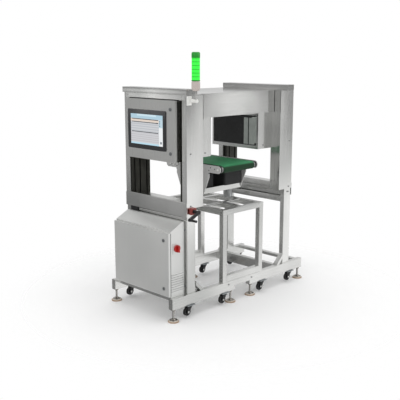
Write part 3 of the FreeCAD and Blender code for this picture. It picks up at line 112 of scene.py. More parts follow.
def brushed_stainless(name, along, light="#f0f0ee", dark="#b4b5b3", rough=0.2, metallic=1.0):
    """304 sheet or tube brushed by a belt: long faint scratches along one axis.

    The real scratches are about 0.1 mm across; they are drawn about 1.2 mm across, so that
    they show, with slow changes of tone from the sheet's rolling.
    """
    made, tree, shader, place = material(name)
    scratches_across, scratches_along, rolling = 800.0, 5.0, 1.9
    scale = [scratches_across] * 3
    scale["xyz".index(along)] = scratches_along
    stretched = add(tree, "ShaderNodeMapping", {"Vector": place, "Scale": scale})
    grain = add(tree, "ShaderNodeTexNoise", {"Vector": (stretched, "Vector"), "Scale": 1.0, "Detail": 4.0})
    slow = add(tree, "ShaderNodeTexNoise", {"Vector": place, "Scale": rolling, "Detail": 2.0})
    blend = add(
        tree,
        "ShaderNodeMath",
        {0: (grain, "Fac"), 1: 0.25, 2: (slow, "Fac")},
        operation="MULTIPLY_ADD",
    )
    tone = add(tree, "ShaderNodeValToRGB", {"Fac": (blend, "Value")}, stops=((0.45, dark), (0.8, light)))
    tree.links.new(tone.outputs["Color"], shader.inputs["Base Color"])
    ends = {"From Min": 0.3, "From Max": 0.7, "To Min": rough - 0.03, "To Max": rough + 0.05}
    gloss = add(tree, "ShaderNodeMapRange", {"Value": (grain, "Fac"), **ends})
    tree.links.new(gloss.outputs["Result"], shader.inputs["Roughness"])
    relief = {"Height": (grain, "Fac"), "Strength": 0.02, "Distance": relief_depth}
    tree.links.new(add(tree, "ShaderNodeBump", relief).outputs["Normal"], shader.inputs["Normal"])
    shader.inputs["Metallic"].default_value = metallic
    return made


def speckled(name, base, other, rough, metallic=0.0, grit=0.0010, relief=0.15, coat=0.0, ior=None):
    """A moulded, plated or cast finish: two close tones and a fine grit of a real size in metres."""
    made, tree, shader, place = material(name)
    clouds = 18.0
    fine = add(tree, "ShaderNodeTexNoise", {"Vector": place, "Scale": 1 / grit, "Detail": 2.0})
    slow = add(tree, "ShaderNodeTexNoise", {"Vector": place, "Scale": clouds, "Detail": 3.0})
    tone = add(tree, "ShaderNodeValToRGB", {"Fac": (slow, "Fac")}, stops=((0.35, base), (0.65, other)))
    tree.links.new(tone.outputs["Color"], shader.inputs["Base Color"])
    ends = {"From Min": 0.3, "From Max": 0.7, "To Min": rough - 0.04, "To Max": rough + 0.05}
    gloss = add(tree, "ShaderNodeMapRange", {"Value": (slow, "Fac"), **ends})
    tree.links.new(gloss.outputs["Result"], shader.inputs["Roughness"])
    bump = {"Height": (fine, "Fac"), "Strength": relief, "Distance": relief_depth}
    tree.links.new(add(tree, "ShaderNodeBump", bump).outputs["Normal"], shader.inputs["Normal"])
    shader.inputs["Metallic"].default_value = metallic
    shader.inputs["Coat Weight"].default_value = coat
    if ior:
        shader.inputs["IOR"].default_value = ior
    return made


def belt_cover():
    """Woven belt under a thin green polyurethane cover: a fine cross weave, with painted shade where it bends
    round.
    """
    made, tree, shader, place = material("belt_polyurethane_green")
    # The weave's threads lie 0.6 mm apart; they are drawn 2.4 mm apart so that they show.
    threads_apart, wear_patches = 130.0, 9.0
    painted_shade_low, painted_shade_high = 0.780, 0.7895
    across = add(tree, "ShaderNodeTexWave", {"Vector": place, "Scale": threads_apart}, bands_direction="X")
    along = add(tree, "ShaderNodeTexWave", {"Vector": place, "Scale": threads_apart}, bands_direction="Y")
    weave = add(tree, "ShaderNodeMath", {0: (across, "Fac"), 1: (along, "Fac")}, operation="MULTIPLY")
    wear = add(tree, "ShaderNodeTexNoise", {"Vector": place, "Scale": wear_patches, "Detail": 5.0})
    greens = ((0.3, "#3d9060"), (0.7, "#4aa06e"))
    fresh = add(tree, "ShaderNodeValToRGB", {"Fac": (wear, "Fac")}, stops=greens)
    parts = add(tree, "ShaderNodeSeparateXYZ", {"Vector": place})
    # Below the belt's top the green is painted dark: painted shade where the belt bends round the roller.
    ends = {"From Min": painted_shade_low, "From Max": painted_shade_high, "To Min": 1.0, "To Max": 0.0}
    low = add(tree, "ShaderNodeMapRange", {"Value": (parts, "Z"), **ends})
    mix = {"Factor": (low, "Result"), "A": (fresh, "Color"), "B": colour("#173a22")}
    shade = add(tree, "ShaderNodeMix", mix, data_type="RGBA")
    tree.links.new(shade.outputs["Result"], shader.inputs["Base Color"])
    bump = {"Height": (weave, "Value"), "Strength": 0.25, "Distance": relief_depth}
    tree.links.new(add(tree, "ShaderNodeBump", bump).outputs["Normal"], shader.inputs["Normal"])
    shader.inputs["Roughness"].default_value = 0.6
    shader.inputs["Specular IOR Level"].default_value = 0.25
    return made


def smoked_glass():
    """Dark tinted glass in front of the cameras: glossy, nearly black, faintly see-through."""
    made, tree, shader, place = material("glass_smoked")
    haze = add(tree, "ShaderNodeTexNoise", {"Vector": place, "Scale": 14.0, "Detail": 4.0})
    ends = {"From Min": 0.3, "From Max": 0.7, "To Min": 0.03, "To Max": 0.08}
    gloss = add(tree, "ShaderNodeMapRange", {"Value": (haze, "Fac"), **ends})
    tree.links.new(gloss.outputs["Result"], shader.inputs["Roughness"])
    shader.inputs["Base Color"].default_value = colour("#8e9290")
    shader.inputs["Transmission Weight"].default_value = 1.0
    shader.inputs["IOR"].default_value = 1.45
    shader.inputs["Specular IOR Level"].default_value = 0.3
    return made


def lit_screen():
    """A liquid crystal display behind a thin hard cover: it glows with its own picture."""
    made, tree, shader, place = material("display_glass_lit")
    # The dots are 0.3 mm apart; they are drawn 1.2 mm apart as a faint unevenness of the glow.
    dots_apart = 830.0
    picture = add(tree, "ShaderNodeAttribute", attribute_name="picture")
    dots = add(tree, "ShaderNodeTexNoise", {"Vector": place, "Scale": dots_apart, "Detail": 1.0})
    ends = {"From Min": 0.3, "From Max": 0.7, "To Min": 0.86, "To Max": 0.98}
    level = add(tree, "ShaderNodeMapRange", {"Value": (dots, "Fac"), **ends})
    tree.links.new(picture.outputs["Color"], shader.inputs["Emission Color"])
    tree.links.new(level.outputs["Result"], shader.inputs["Emission Strength"])
    shader.inputs["Base Color"].default_value = colour("#0c0e10")
    shader.inputs["Roughness"].default_value = 0.25
    return made


def lit_plastic(name, base, glow, strength, tier=0.0):
    """A translucent moulding lit from inside: its own colour and a soft, slightly uneven glow.

    With a tier height in metres the glow dims at each joint between the lamps stacked inside.
    """
    made, tree, shader, place = material(name)
    if tier:
        wave = {"Vector": place, "Scale": math.pi / (10 * tier), "Phase Offset": 1.2}
        bands = add(tree, "ShaderNodeTexWave", wave, bands_direction="Z")
        stops = ((0.0, base), (0.55, glow))
    else:
        bands = add(tree, "ShaderNodeTexNoise", {"Vector": place, "Scale": 30.0, "Detail": 2.0})
        stops = ((0.3, base), (0.7, glow))
    tone = add(tree, "ShaderNodeValToRGB", {"Fac": (bands, "Fac")}, stops=stops)
    tree.links.new(tone.outputs["Color"], shader.inputs["Base Color"])
    tree.links.new(tone.outputs["Color"], shader.inputs["Emission Color"])
    shader.inputs["Emission Strength"].default_value = strength
    shader.inputs["Roughness"].default_value = 0.3
    shader.inputs["Coat Weight"].default_value = 0.3
    return made


lamp_tier = 0.0184
finish = {
    # Brushed 304 sheet: soft bright and dark bands across the scratches, one finish per direction.
    "stainless_upright": brushed_stainless("stainless_brushed_upright", "z", "#f6f6f4", "#c2c3c1"),
    "stainless_lengthwise": brushed_stainless("stainless_brushed_lengthwise", "y", rough=0.14),
    "stainless_crosswise": brushed_stainless("stainless_brushed_crosswise", "x", rough=0.13),
    # Brushed tube: duller and more even than the sheet.
    "stainless_frame": brushed_stainless("stainless_brushed_tube", "x", "#eaeae8", "#c6c7c5", 0.24),
    # Satin and glass-beaded sheet: pale and matt, with hardly a reflection.
    "stainless_satin": brushed_stainless("stainless_satin_sheet", "z", "#eeeeec", "#d8d9d6", 0.3),
    "stainless_door": brushed_stainless("stainless_satin_door", "z", "#eeeeec", "#dcdddb", 0.32, 0.58),
    "stainless_plate": brushed_stainless(
        "stainless_sheet_glass_beaded", "y", "#f4f4f2", "#dededc", 0.42, 0.45
    ),
    # Turned, machined and polished metal: small bright highlights, no grain.
    "turned_steel": speckled("steel_turned", "#b4b5b4", "#9c9e9d", 0.3, 1.0, 0.0008, 0.05),
    "machined_aluminium": speckled("aluminium_machined", "#c9cacb", "#b7b9ba", 0.38, 1.0, 0.0009, 0.1),
    "polished_stainless": speckled("stainless_polished", "#d6d6d4", "#c4c4c2", 0.16, 1.0, relief=0.02),
    # The chrome's colour is painted dark and brownish: a painted reflection of dark surroundings on the
    # feet's domes.
    "chrome": speckled("steel_chrome_plated", "#a5a09a", "#8f8a85", 0.14, 1.0, relief=0.02),
    "brass": speckled("brass_machined", "#c29a52", "#b08842", 0.3, 1.0, relief=0.05),
    # Plated, anodised and painted metal: flatter, with a fine even grit.
    "zinc_plate": speckled("steel_zinc_plated", "#a9adb0", "#8d9194", 0.3, 1.0, relief=0.08),
    "cream_zinc": speckled("steel_cream_lacquered", "#ddd6cc", "#cfc6ba", 0.35, 0.3, relief=0.05),
    "black_anodised": speckled("aluminium_black_anodised", "#1d1d1c", "#272725", 0.32, 0.85, 0.0006, 0.08),
    # A paler copy of the black anodising for the guide profiles' outer faces: a painted sheen.
    "worn_anodised": speckled(
        "aluminium_black_anodised_rubbed", "#3b3b37", "#484843", 0.34, 0.85, 0.0006, 0.08
    ),
    "black_powder_coat": speckled("steel_powder_coated_black", "#1b1c1d", "#262728", 0.55, 0.0, 0.0009, 0.35),
    "blue_grey_coat": speckled("aluminium_coated_blue_grey", "#7d8a94", "#70808b", 0.45, 0.2, 0.0009),
    # Moulded plastics: an eggshell surface that takes a soft highlight.
    "black_polyamide": speckled(
        "polyamide_black_moulded", "#161617", "#202022", 0.5, 0.0, 0.0007, 0.3, ior=1.53
    ),
    "dull_red": speckled("polyamide_red_dull", "#9c4640", "#8a3a35", 0.5, 0.0, 0.0008, 0.2, ior=1.52),
    "red_abs": speckled("abs_red_moulded", "#b5201a", "#98140f", 0.3, 0.0, 0.0008, 0.12, coat=0.3, ior=1.52),
    "grey_abs": speckled("abs_grey_moulded", "#a5a7a7", "#999b9b", 0.5, 0.0, 0.0008, 0.25, ior=1.52),
    "dark_grey_abs": speckled(
        "abs_dark_grey_moulded", "#4a4c4d", "#414344", 0.5, 0.0, 0.0008, 0.25, ior=1.52
    ),
    "beige_abs": speckled("abs_beige_moulded", "#d2c6c0", "#c6bab4", 0.42, 0.0, 0.0008, 0.2, ior=1.52),
    "white_nylon": speckled("nylon_white_turned", "#f4f4f1", "#e9e9e5", 0.4, relief=0.1),
    "gloss_black": speckled("acrylic_black_gloss", "#121417", "#16181b", 0.12, relief=0.0, coat=0.5),
    # Rubber: matt, with no clear highlight.
    "black_rubber": speckled("rubber_black_tread", "#19191a", "#242425", 0.62, relief=0.4),
    "tan_rubber": speckled("rubber_tan_foot", "#b39a85", "#a08870", 0.7, relief=0.35),
    # Besides the door's gasket, this black finish is painted shade in the frame's joints and the louvre
    # slots.
    "gasket": speckled("rubber_black_gasket", "#141415", "#1c1c1d", 0.7, 0.0, 0.0008, 0.2),
    # Lit mouldings, glass and the display: they glow, or let the dark inside show.
    "diffuser": lit_plastic("acrylic_opal_diffuser", "#dfe1dd", "#c9ccc8", 0.9),
    "green_lens": lit_plastic("polycarbonate_green_lit", "#0fa51e", "#2fe43a", 0.72, lamp_tier),
    "green_cap": lit_plastic("polycarbonate_green_dark", "#08701a", "#0f8a22", 0.45),
    "screen": lit_screen(),
    "glass": smoked_glass(),
    "belt": belt_cover(),
}

nodes_in_finish = {
    "stainless_upright": ("tower_posts", "tower_columns", "camera_housings", "hmi_box"),
    "stainless_lengthwise": ("post_braces", "top_covers"),
    "stainless_crosswise": ("slider_bed", "weigh_tray", "gantry_beam"),
    "stainless_frame": ("base_frame", "stand_frame"),
    "stainless_satin": ("hmi_door",),
    "stainless_door": ("cabinet_shell", "cabinet_door"),
    "stainless_plate": ("side_plates",),
    "turned_steel": ("tail_roller", "drive_roller", "lift_screw", "frame_bolts"),
    "machined_aluminium": ("load_cells",),
    "chrome": ("feet_stems",),
    "brass": ("lift_nut",),
    "zinc_plate": (
        "cabinet_fittings", "cabinet_lock_bottom", "cabinet_lock_top", "hmi_lock_bottom", "hmi_lock_top",
        "castor_plates",
    ),
    "black_anodised": ("guide_profiles",),
    "black_powder_coat": ("drive_boxes", "camera_units"),
    "black_polyamide": ("roller_bearings", "lift_crank", "crank_grip"),
    "dull_red": ("position_indicator",),
    "red_abs": ("main_switch",),
    "grey_abs": ("cabinet_electronics",),
    "beige_abs": ("stack_light_pole",),
    "white_nylon": ("light_bracket",),
    "gloss_black": ("hmi_panel",),
    "tan_rubber": ("feet_pads",),
    "glass": ("camera_windows",),
    "belt": ("conveyor_belt",),
}


# Making pieces


def place_piece(name, mesh, node, key, hides):
    """Add a piece that rides with a node's body, takes its finish, and may stand for the node."""
    piece = bpy.data.objects.new(name, mesh)
    bpy.context.scene.collection.objects.link(piece)
    mesh.materials.clear()
    mesh.materials.append(finish[key])
    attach(piece, body_of[node])
    if hides:
        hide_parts(node)
    return piece


def smooth(mesh, angle):
    """Shade a mesh smooth, with sharp edges past an angle in degrees."""
    mesh.shade_smooth()
    mesh.set_sharp_from_angle(angle=math.radians(angle))


def break_edges(piece, width, angle):
    """Round off the edges past an angle, as a file or a bending tool leaves them."""
    edge = piece.modifiers.new("broken_edges", "BEVEL")
    edge.width = width / 1000
    edge.segments = 2
    edge.limit_method = "ANGLE"
    edge.angle_limit = math.radians(angle)
    return edge


def finished_copy(node, key, bevel=0.0, zones=(), reshape=None):
    """A merged copy of a node: flat facets joined, curves shaded smooth, edges broken a little.

    Each zone is a finish and a test on the faces' centres; the last that holds wins.
    Reshape moves an array of the copy's points.
    """
    mesh = frame["nodes"][node].data.copy()
    mesh.name = f"{node}_finished"
    work = bmesh.new()
    work.from_mesh(mesh)
    bmesh.ops.remove_doubles(work, verts=work.verts, dist=1e-6)
    bmesh.ops.dissolve_limit(work, angle_limit=math.radians(0.3), verts=work.verts, edges=work.edges)
    work.to_mesh(mesh)
    work.free()
    smooth(mesh, 30)
    piece = place_piece(mesh.name, mesh, node, key, hides=True)
    if reshape:
        points = np.empty(len(mesh.vertices) * 3)
        mesh.vertices.foreach_get("co", points)
        points = points.reshape(-1, 3) * 1000
        reshape(points)
        mesh.vertices.foreach_set("co", points.ravel() / 1000)
        mesh.update()
    if zones:
        centres = np.empty(len(mesh.polygons) * 3)
        mesh.polygons.foreach_get("center", centres)
        x, y, z = centres.reshape(-1, 3).T * 1000
        index = np.zeros(len(mesh.polygons), dtype=np.int32)
        for number, (other, test) in enumerate(zones, start=1):
            mesh.materials.append(finish[other])
            index[test(x, y, z)] = number
        mesh.polygons.foreach_set("material_index", index)
    if bevel:
        break_edges(piece, bevel, 40).harden_normals = True


def grid_mesh(name, points, around=False):
    """A mesh over a grid of points; around joins the last point of each row to the first."""
    index = np.arange(points[..., 0].size).reshape(points.shape[:2])
    if around:
        index = np.concatenate([index, index[:, :1]], axis=1)
    quads = np.stack([index[:-1, :-1], index[:-1, 1:], index[1:, 1:], index[1:, :-1]], axis=-1)
    mesh = bpy.data.meshes.new(name)
    mesh.from_pydata(points.reshape(-1, 3) / 1000, [], quads.reshape(-1, 4))
    return mesh


def closed_rings(points):
    """Solids whose skins are grids of rings, closed by a flat face over the first and last ring."""
    index = np.arange(points.size // 3).reshape(points.shape[:3])
    after = np.roll(index, -1, axis=2)
    quads = np.stack([index[:, :-1], after[:, :-1], after[:, 1:], index[:, 1:]], axis=-1)
    return points.reshape(-1, 3), (quads.reshape(-1, 4), index[:, 0, ::-1], index[:, -1])


def turned(profile, centres, axis, sides=20):
    """Closed turned solids: each (radius, height) of the profile swept once round every centre.

    A point is centre + radius * (cos t, sin t) across the axis + height along the axis.
    """
    w = np.array(axis, float)
    u = np.roll(w, 1)
    v = np.cross(w, u)
    r, h = np.array(profile, float).T
    t = np.linspace(0, 2 * np.pi, sides, endpoint=False)
    ring = np.outer(np.cos(t), u) + np.outer(np.sin(t), v)
    centres = np.array(centres, float).reshape(-1, 1, 1, 3)
    return closed_rings(centres + r[None, :, None, None] * ring[None, None] + h[None, :, None, None] * w)


def threads(centres, radius, depth, pitch, z0, z1, sides=24):
    """Upright screw threads: radius minus a triangle wave of height over pitch minus turn."""
    rows_per_turn = 4
    rows = int((z1 - z0) / (pitch / rows_per_turn)) + 1
    z = np.linspace(z0, z1, rows)[:, None]
    t = np.linspace(0, 2 * np.pi, sides, endpoint=False)[None, :]
    wave = np.abs(((z / pitch - t / (2 * np.pi)) % 1.0) * 2 - 1)
    r = radius - depth * wave
    shape = np.stack([r * np.cos(t), r * np.sin(t), z + 0 * t], axis=-1)
    return closed_rings(np.array(centres, float).reshape(-1, 1, 1, 3) + shape)


def slabs(boxes):
    """Square-cornered bars, one for each row of x0, x1, y0, y1, z0, z1."""
    ends = np.array(boxes, float).reshape(-1, 3, 2)
    pick = np.array([(0, 0, 0), (1, 0, 0), (1, 1, 0), (0, 1, 0), (0, 0, 1), (1, 0, 1), (1, 1, 1), (0, 1, 1)])
    points = ends[:, np.arange(3)[None, :], pick]
    sides = np.array([(0, 3, 2, 1), (4, 5, 6, 7), (0, 1, 5, 4), (1, 2, 6, 5), (2, 3, 7, 6), (3, 0, 4, 7)])
    faces = sides[None] + 8 * np.arange(len(ends))[:, None, None]
    return points.reshape(-1, 3), (faces.reshape(-1, 4),)


def detail(name, shapes, node, key, angle=30.0, bevel=0.0, hides=False):
    """One piece from shapes, each its points and its faces as rows of point numbers."""
    points, faces, start = [], [], 0
    for corners, polygons in shapes:
        points.append(corners)
        for rows in polygons:
            faces += (rows + start).tolist()
        start += len(corners)
    mesh = bpy.data.meshes.new(name)
    mesh.from_pydata(np.concatenate(points) / 1000, [], faces)
    smooth(mesh, angle)
    piece = place_piece(name, mesh, node, key, hides)
    if bevel:
        break_edges(piece, bevel, 30)


# The nodes' own finishes

middle = (span("base_frame")[0][1] + span("base_frame")[1][1]) / 2
profile_width, profile_depth, cover_strip = 100.0, 34.0, 1.5


def on_flange(x, y, z):
    """The outer faces of the guide profiles, painted paler than their slots: a painted sheen."""
    outer_x, outer_y = span("guide_profiles")[1][0], span("guide_profiles")[1][1] - middle
    inner_x, inner_y = outer_x - profile_width, outer_y - profile_depth
    across, along = np.abs(x), np.abs(y - middle)
    sides = near(across, outer_x, 0.1) | near(across, inner_x, 0.1) | near(across, inner_x + cover_strip, 0.1)
    return sides | near(along, outer_y, 0.1) | near(along, inner_y, 0.1)


def on_roller_caps(x, y, z):
    """The rollers' ends, outside the bearing rings."""
    return np.abs(x) > 154.5


knuckle_top, stem_top = 1171.0, 1213.5
foot_rim = 11.0
plate_face = -456.6
upper_row = 280.0
zones = {
    "guide_profiles": [("worn_anodised", on_flange)],
    "drive_roller": [("white_nylon", on_roller_caps)],
    "tail_roller": [("white_nylon", on_roller_caps)],
    # The signal light's steel stem over its folding knuckle.
    "stack_light_pole": [
        ("polished_stainless", lambda x, y, z: (z < stem_top) & (z > knuckle_top)),
        ("white_nylon", lambda x, y, z: z <= knuckle_top),
    ],
    "feet_stems": [("cream_zinc", lambda x, y, z: z < foot_rim)],
    # The mounting plate, the drive and the controller on it.
    "cabinet_electronics": [
        ("zinc_plate", lambda x, y, z: x > plate_face),
        ("blue_grey_coat", lambda x, y, z: (x < plate_face) & (y < -60) & (z > upper_row)),
        ("dark_grey_abs", lambda x, y, z: (x < plate_face) & near(y, 77.5, 67.5) & (z > upper_row)),
    ],
    # The plate under the main switch, and the switch's round skirt.
    "cabinet_fittings": [("stainless_door", lambda x, y, z: (y < -184) & near(z, 395, 30))],
    "main_switch": [("dull_red", lambda x, y, z: y > -192)],
    "camera_units": [("diffuser", lambda x, y, z: (y < -50) & (np.abs(x) < 262.5))],
    "load_cells": [("black_rubber", lambda x, y, z: z > 642)],
    # Faces of the braces by the operator tower's back post, where the low tie ends, are painted black.
    "post_braces": [("black_powder_coat", lambda x, y, z: (x < -436) & (y > 196) & near(z, 533.5, 20))],
}


def low_end_members(points):
    """The outermost cross members are 20 mm tubes at the skids' top: their undersides go up 40 mm."""
    x, y, z = points.T
    member_inset, member_half, half_length, rise, below = 35.0, 15.5, 226.2, 40.0, 100.0
    outer = near(np.abs(x), span("base_frame")[1][0] - member_inset, member_half)
    points[outer & near(y, middle, half_length) & (z < below), 2] += rise


def castor(number):
    """A fork, a wheel with a moulded hub inside its tyre, and the axle's two nuts."""
    fork, wheel = f"castor_fork_{number}", f"castor_wheel_{number}"
    low, high = span(wheel)
    centre = (low + high) / 2
    hub_radius, nut_stand = 14.5, 6.2

    def on_hub(x, y, z):
        """The faces inside the tyre."""
        return np.hypot(x - centre[0], z - centre[2]) < hub_radius

    finished_copy(fork, "black_powder_coat")
    finished_copy(wheel, "black_rubber", zones=[("black_polyamide", on_hub)])
    nut = [(6.0, -2.5), (6.6, -1.9), (6.6, 0.2), (5.4, 1.2), (3.4, 1.4), (3.4, 2.2), (2.6, 2.9)]
    reach = (high[1] - low[1]) / 2 + nut_stand
    ends = [turned(nut, [centre + reach * np.array(way)], way, 6) for way in (front, back)]
    detail(f"castor_axle_nuts_{number}", ends, fork, "polished_stainless")


def dress_nodes():
    """Give every node its finish, and a smooth-shaded copy with broken edges."""
    sheet_edge, thick_edge = 0.4, 0.8
    for key, names in nodes_in_finish.items():
        for name in names:
            bevel = sheet_edge if key.startswith("stainless") else 0.0
            if name in ("side_plates", "weigh_tray", "guide_profiles"):
                bevel = thick_edge
            reshape = low_end_members if name == "base_frame" else None
            finished_copy(name, key, bevel, zones.get(name, ()), reshape)
    for number in range(1, 9):
        castor(number)


# Small pieces


def signal_lens():
    """The lens as six stacked lamp tiers, with a domed cap and a foot ring.

    Each tier's radius is the full radius less a small even power of its height's distance
    from the tier's middle; the cap is a turned dome.
    """
    low, high = span("stack_light_lens")
    axis = [(low[0] + high[0]) / 2, (low[1] + high[1]) / 2, 0.0]
    foot, top = low[2] + 3.0, high[2] - 28.5
    full, dip, tiers, rows = 21.2, 0.9, 6, 101
    z = np.linspace(foot, top, rows)
    share = ((z - foot) / (top - foot) * tiers) % 1.0
    r = full - dip * np.abs(share * 2 - 1) ** 8
    lens = turned(np.stack([r, z], axis=1), [axis], up, 64)
    detail("signal_lens", [lens], "stack_light_lens", "green_lens", 60, hides=True)
    dome = [(21.0, -28.5), (22.0, -27.7), (22.0, -8.0), (21.4, -4.8), (19.6, -2.1), (17.0, -0.5), (14.0, 0.0)]
    ring = [(21.2, -2.5), (22.0, -2.0), (22.0, 2.0), (21.2, 3.5)]
    cap = turned(np.array(dome) + (0, high[2]), [axis], up, 64)
    foot_ring = turned(np.array(ring) + (0, low[2]), [axis], up, 64)
    detail("signal_lens_cap", [cap, foot_ring], "stack_light_lens", "green_cap", 35)


def cap_screws():
    """Socket-head screws: a turned head with a chamfered rim and a sunk socket."""
    head = [(4.0, 0.0), (4.5, 0.4), (4.5, 2.2), (4.0, 2.8), (2.4, 2.8), (2.1, 0.9)]
    flat = [(2.9, 0.0), (3.1, 0.3), (2.9, 0.7), (1.5, 0.7), (1.3, 0.3)]

    low, high = span("tower_columns")
    screw_inset, screw_heights = 30.0, (610.3, 887.7)
    places = [(x, z) for x in (low[0] + screw_inset, high[0] - screw_inset) for z in screw_heights]
    near_heads = turned(head, [(x, low[1], z) for x, z in places], front)
    far_heads = turned(head, [(x, high[1], z) for x, z in places], back)
    detail("column_screws", [near_heads, far_heads], "tower_columns", "turned_steel")

    low, high = span("base_frame")
    post_setback, post_screw, post_height = 10.0, 417.2, 577.4
    near_heads = turned(head, [(post_screw, low[1] + post_setback, post_height)], front)
    far = [(x, high[1] - post_setback, post_height) for x in (-post_screw, post_screw)]
    detail("post_screws", [near_heads, turned(head, far, back)], "tower_posts", "turned_steel")

    low = span("camera_housings")[0]
    box_screw, box_height = 244.2, low[2] + 21.2
    heads = turned(head, [(x, low[1], box_height) for x in (-box_screw, box_screw)], front)
    detail("camera_housing_screws", [heads], "camera_housings", "turned_steel")

    plate_low, plate_high = span("side_plates")
    spots = [(-99.9, 776.2), (-131.6, 770.8), (-87.5, 759.6), (-87.6, 743.7)]
    spots += [(2 * middle - y, z) for y, z in spots]
    plates = [
        turned(flat, [(plate_low[0], y, z) for y, z in spots], left),
        turned(flat, [(plate_high[0], y, z) for y, z in spots], right),
    ]
    detail("side_plate_screws", plates, "side_plates", "black_anodised")


def screen_picture():
    """The display's picture: a wordless table, worked out from each cell's share across and down."""
    low, high = span("hmi_panel")
    rows, columns = 164, 260
    width, height, shift, sunk = 258.8, 162.8, -0.75, 0.55
    across, down = (low[1] + high[1]) / 2 + shift, (low[2] + high[2]) / 2
    y = np.linspace(across - width / 2, across + width / 2, columns + 1)[None, :]
    z = np.linspace(down + height / 2, down - height / 2, rows + 1)[:, None]
    mesh = grid_mesh("screen_picture", np.stack(np.broadcast_arrays(low[0] + sunk, y, z), axis=-1))
    u = ((np.arange(columns) + 0.5) / columns)[None, ::-1] + np.zeros((rows, 1))
    v = ((np.arange(rows) + 0.5) / rows)[:, None] + np.zeros((1, columns))
    picture = np.empty((rows, columns, 4))
    picture[:] = colour("#d3d5d8")

    def fill(code, where):
        """Colour the cells where a test holds."""
        picture[where] = colour(code)

    # The head band with its title field.
    fill("#b4d3e2", v < 0.145)
    fill("#d2eaf4", (v < 0.06) & (u > 0.2) & (u < 0.8))
    # The table: a tinted first row, two blocks of striped rows, and dark rules.
    fill("#e8d9cc", (v > 0.165) & (v < 0.245))
    fill("#bfc3c9", (v > 0.27) & (v < 0.56) & ((v * 26).astype(int) % 2 == 0))
    fill("#c7c5c9", (v > 0.61) & (v < 0.93) & ((v * 30).astype(int) % 2 == 0))
    for rule in (0.164, 0.262, 0.587):
        fill("#33383e", near(v, rule, 0.011) & (u < 0.865) & (u > 0.03))
    fill("#2b2f34", (u > 0.80) & (u < 0.865) & near(v, 0.262, 0.022 - np.abs(u - 0.8325) * 0.6))
    # The foot band, and the side bar with its buttons.
    fill("#bfe2f2", v > 0.945)
    fill("#f3f6f8", (u > 0.885) & (v > 0.15))
    fill("#c4dbe6", (u > 0.885) & (v > 0.15) & (v < 0.40))
    for button in (0.2, 0.27, 0.34):
        fill("#5d7888", near(u, 0.91, 0.012) & near(v, button, 0.018))
    fill("#8a9097", near(u, 0.945, 0.03) & near(v, 0.89, 0.035))
    layer = mesh.color_attributes.new(name="picture", type="FLOAT_COLOR", domain="CORNER")
    layer.data.foreach_set("color", np.repeat(picture.reshape(-1, 4), 4, axis=0).ravel())
    place_piece("screen_picture", mesh, "hmi_panel", "screen", hides=False)


def foot_threads():
    """Cut threads on the levelling feet and on the lifting screw."""
    feet = [mount["pos_m"] for mount in record["mounts"] if mount["name"].startswith("foot")]
    centres = np.array(feet) * (1000, 1000, 0)
    # The thread's pitch is 1.75 mm; it is drawn 2.5 mm so that it shows.
    stems = threads(centres, radius=6.35, depth=0.7, pitch=2.5, z0=19.5, z1=69.0)
    detail("levelling_threads", [stems], "feet_stems", "polished_stainless", 20)
    low, high = span("lift_screw")
    axis = (low + high) / 2 * (1, 1, 0)
    lead = threads([axis], radius=8.2, depth=1.1, pitch=5.0, z0=636.0, z1=668.0)
    detail("lifting_thread", [lead], "lift_screw", "turned_steel", 20)


def cabinet_door_seal():
    """A black frame between the cabinet's door and shell: the door's gasket, with painted shade in the seam;
    and a black strip at the door's front edge, painted shade in the joint.
    """
    door_low, door_high = span("cabinet_door")
    shell_low, shell_high = span("cabinet_shell")
    inset, band = 2.0, 8.0
    x0, x1 = shell_low[0] - 0.7, shell_low[0] - 0.1
    y0, y1 = door_low[1] + inset, shell_high[1] - inset
    z0, z1 = door_low[2] + inset, door_high[2] - inset
    bars = [
        (x0, x1, y0, y0 + band, z0, z1),
        (x0, x1, y1 - band, y1, z0, z1),
        (x0, x1, y0 + band, y1 - band, z0, z0 + band),
        (x0, x1, y0 + band, y1 - band, z1 - band, z1),
        (x0 - 1.7, x1 + 0.3, door_low[1] - 0.7, door_low[1] - 0.1, z0 - 1.3, z1 + 0.7),
    ]
    detail("cabinet_door_seal", [slabs(bars)], "cabinet_door", "gasket")


def frame_painted_shade_strips():
    """Black strips where the beams meet the columns and under the caps' aprons: painted shade in the joints.
    """
    low, high = span("gantry_beam")
    half_width, proud = 1.2, 0.1
    ends = [
        (side * (high[0] - half_width) - half_width, side * (high[0] - half_width) + half_width,
         y - 0.5, y + 0.5, low[2] + 1.0, high[2] - 0.5)
        for side in (-1, 1)
        for y in (low[1] - proud, high[1] + proud)
    ]
    detail("beam_end_seals", [slabs(ends)], "gantry_beam", "gasket")
    column_face = span("tower_columns")[0][1]
    edges = [
        (side * (high[0] + proud) - 0.9, side * (high[0] + proud) + 0.9,
         column_face - 0.5, column_face + 0.9, low[2], high[2] - 0.5)
        for side in (-1, 1)
    ]
    detail("column_edge_seals", [slabs(edges)], "tower_columns", "gasket")
    low, high = span("top_covers")
    foot = (low[2] + 0.1, low[2] + 3.7)
    run = (-149.0, 247.0)
    aprons = [(low[0] + 0.8, low[0] + 1.6, *run, *foot), (high[0] - 1.6, high[0] - 0.8, *run, *foot)]
    detail("apron_seals", [slabs(aprons)], "top_covers", "gasket")


def louvre_slot_shade():
    """Black strips in the louvres' slots: painted shade in each slot."""
    low, high = span("cabinet_shell")
    louvres, first, pitch, slot, hood = 8, 30.0, 13.0, 4.0, 3.0
    rows = low[2] + first + pitch * np.arange(louvres)
    wall = low[1] + hood
    strips = [(low[0] + 3.9, high[0] - 4.7, wall + 0.2, wall + 0.8, z + 0.1, z + slot - 0.1) for z in rows]
    detail("louvre_dust_cloth", [slabs(strips)], "cabinet_shell", "gasket")


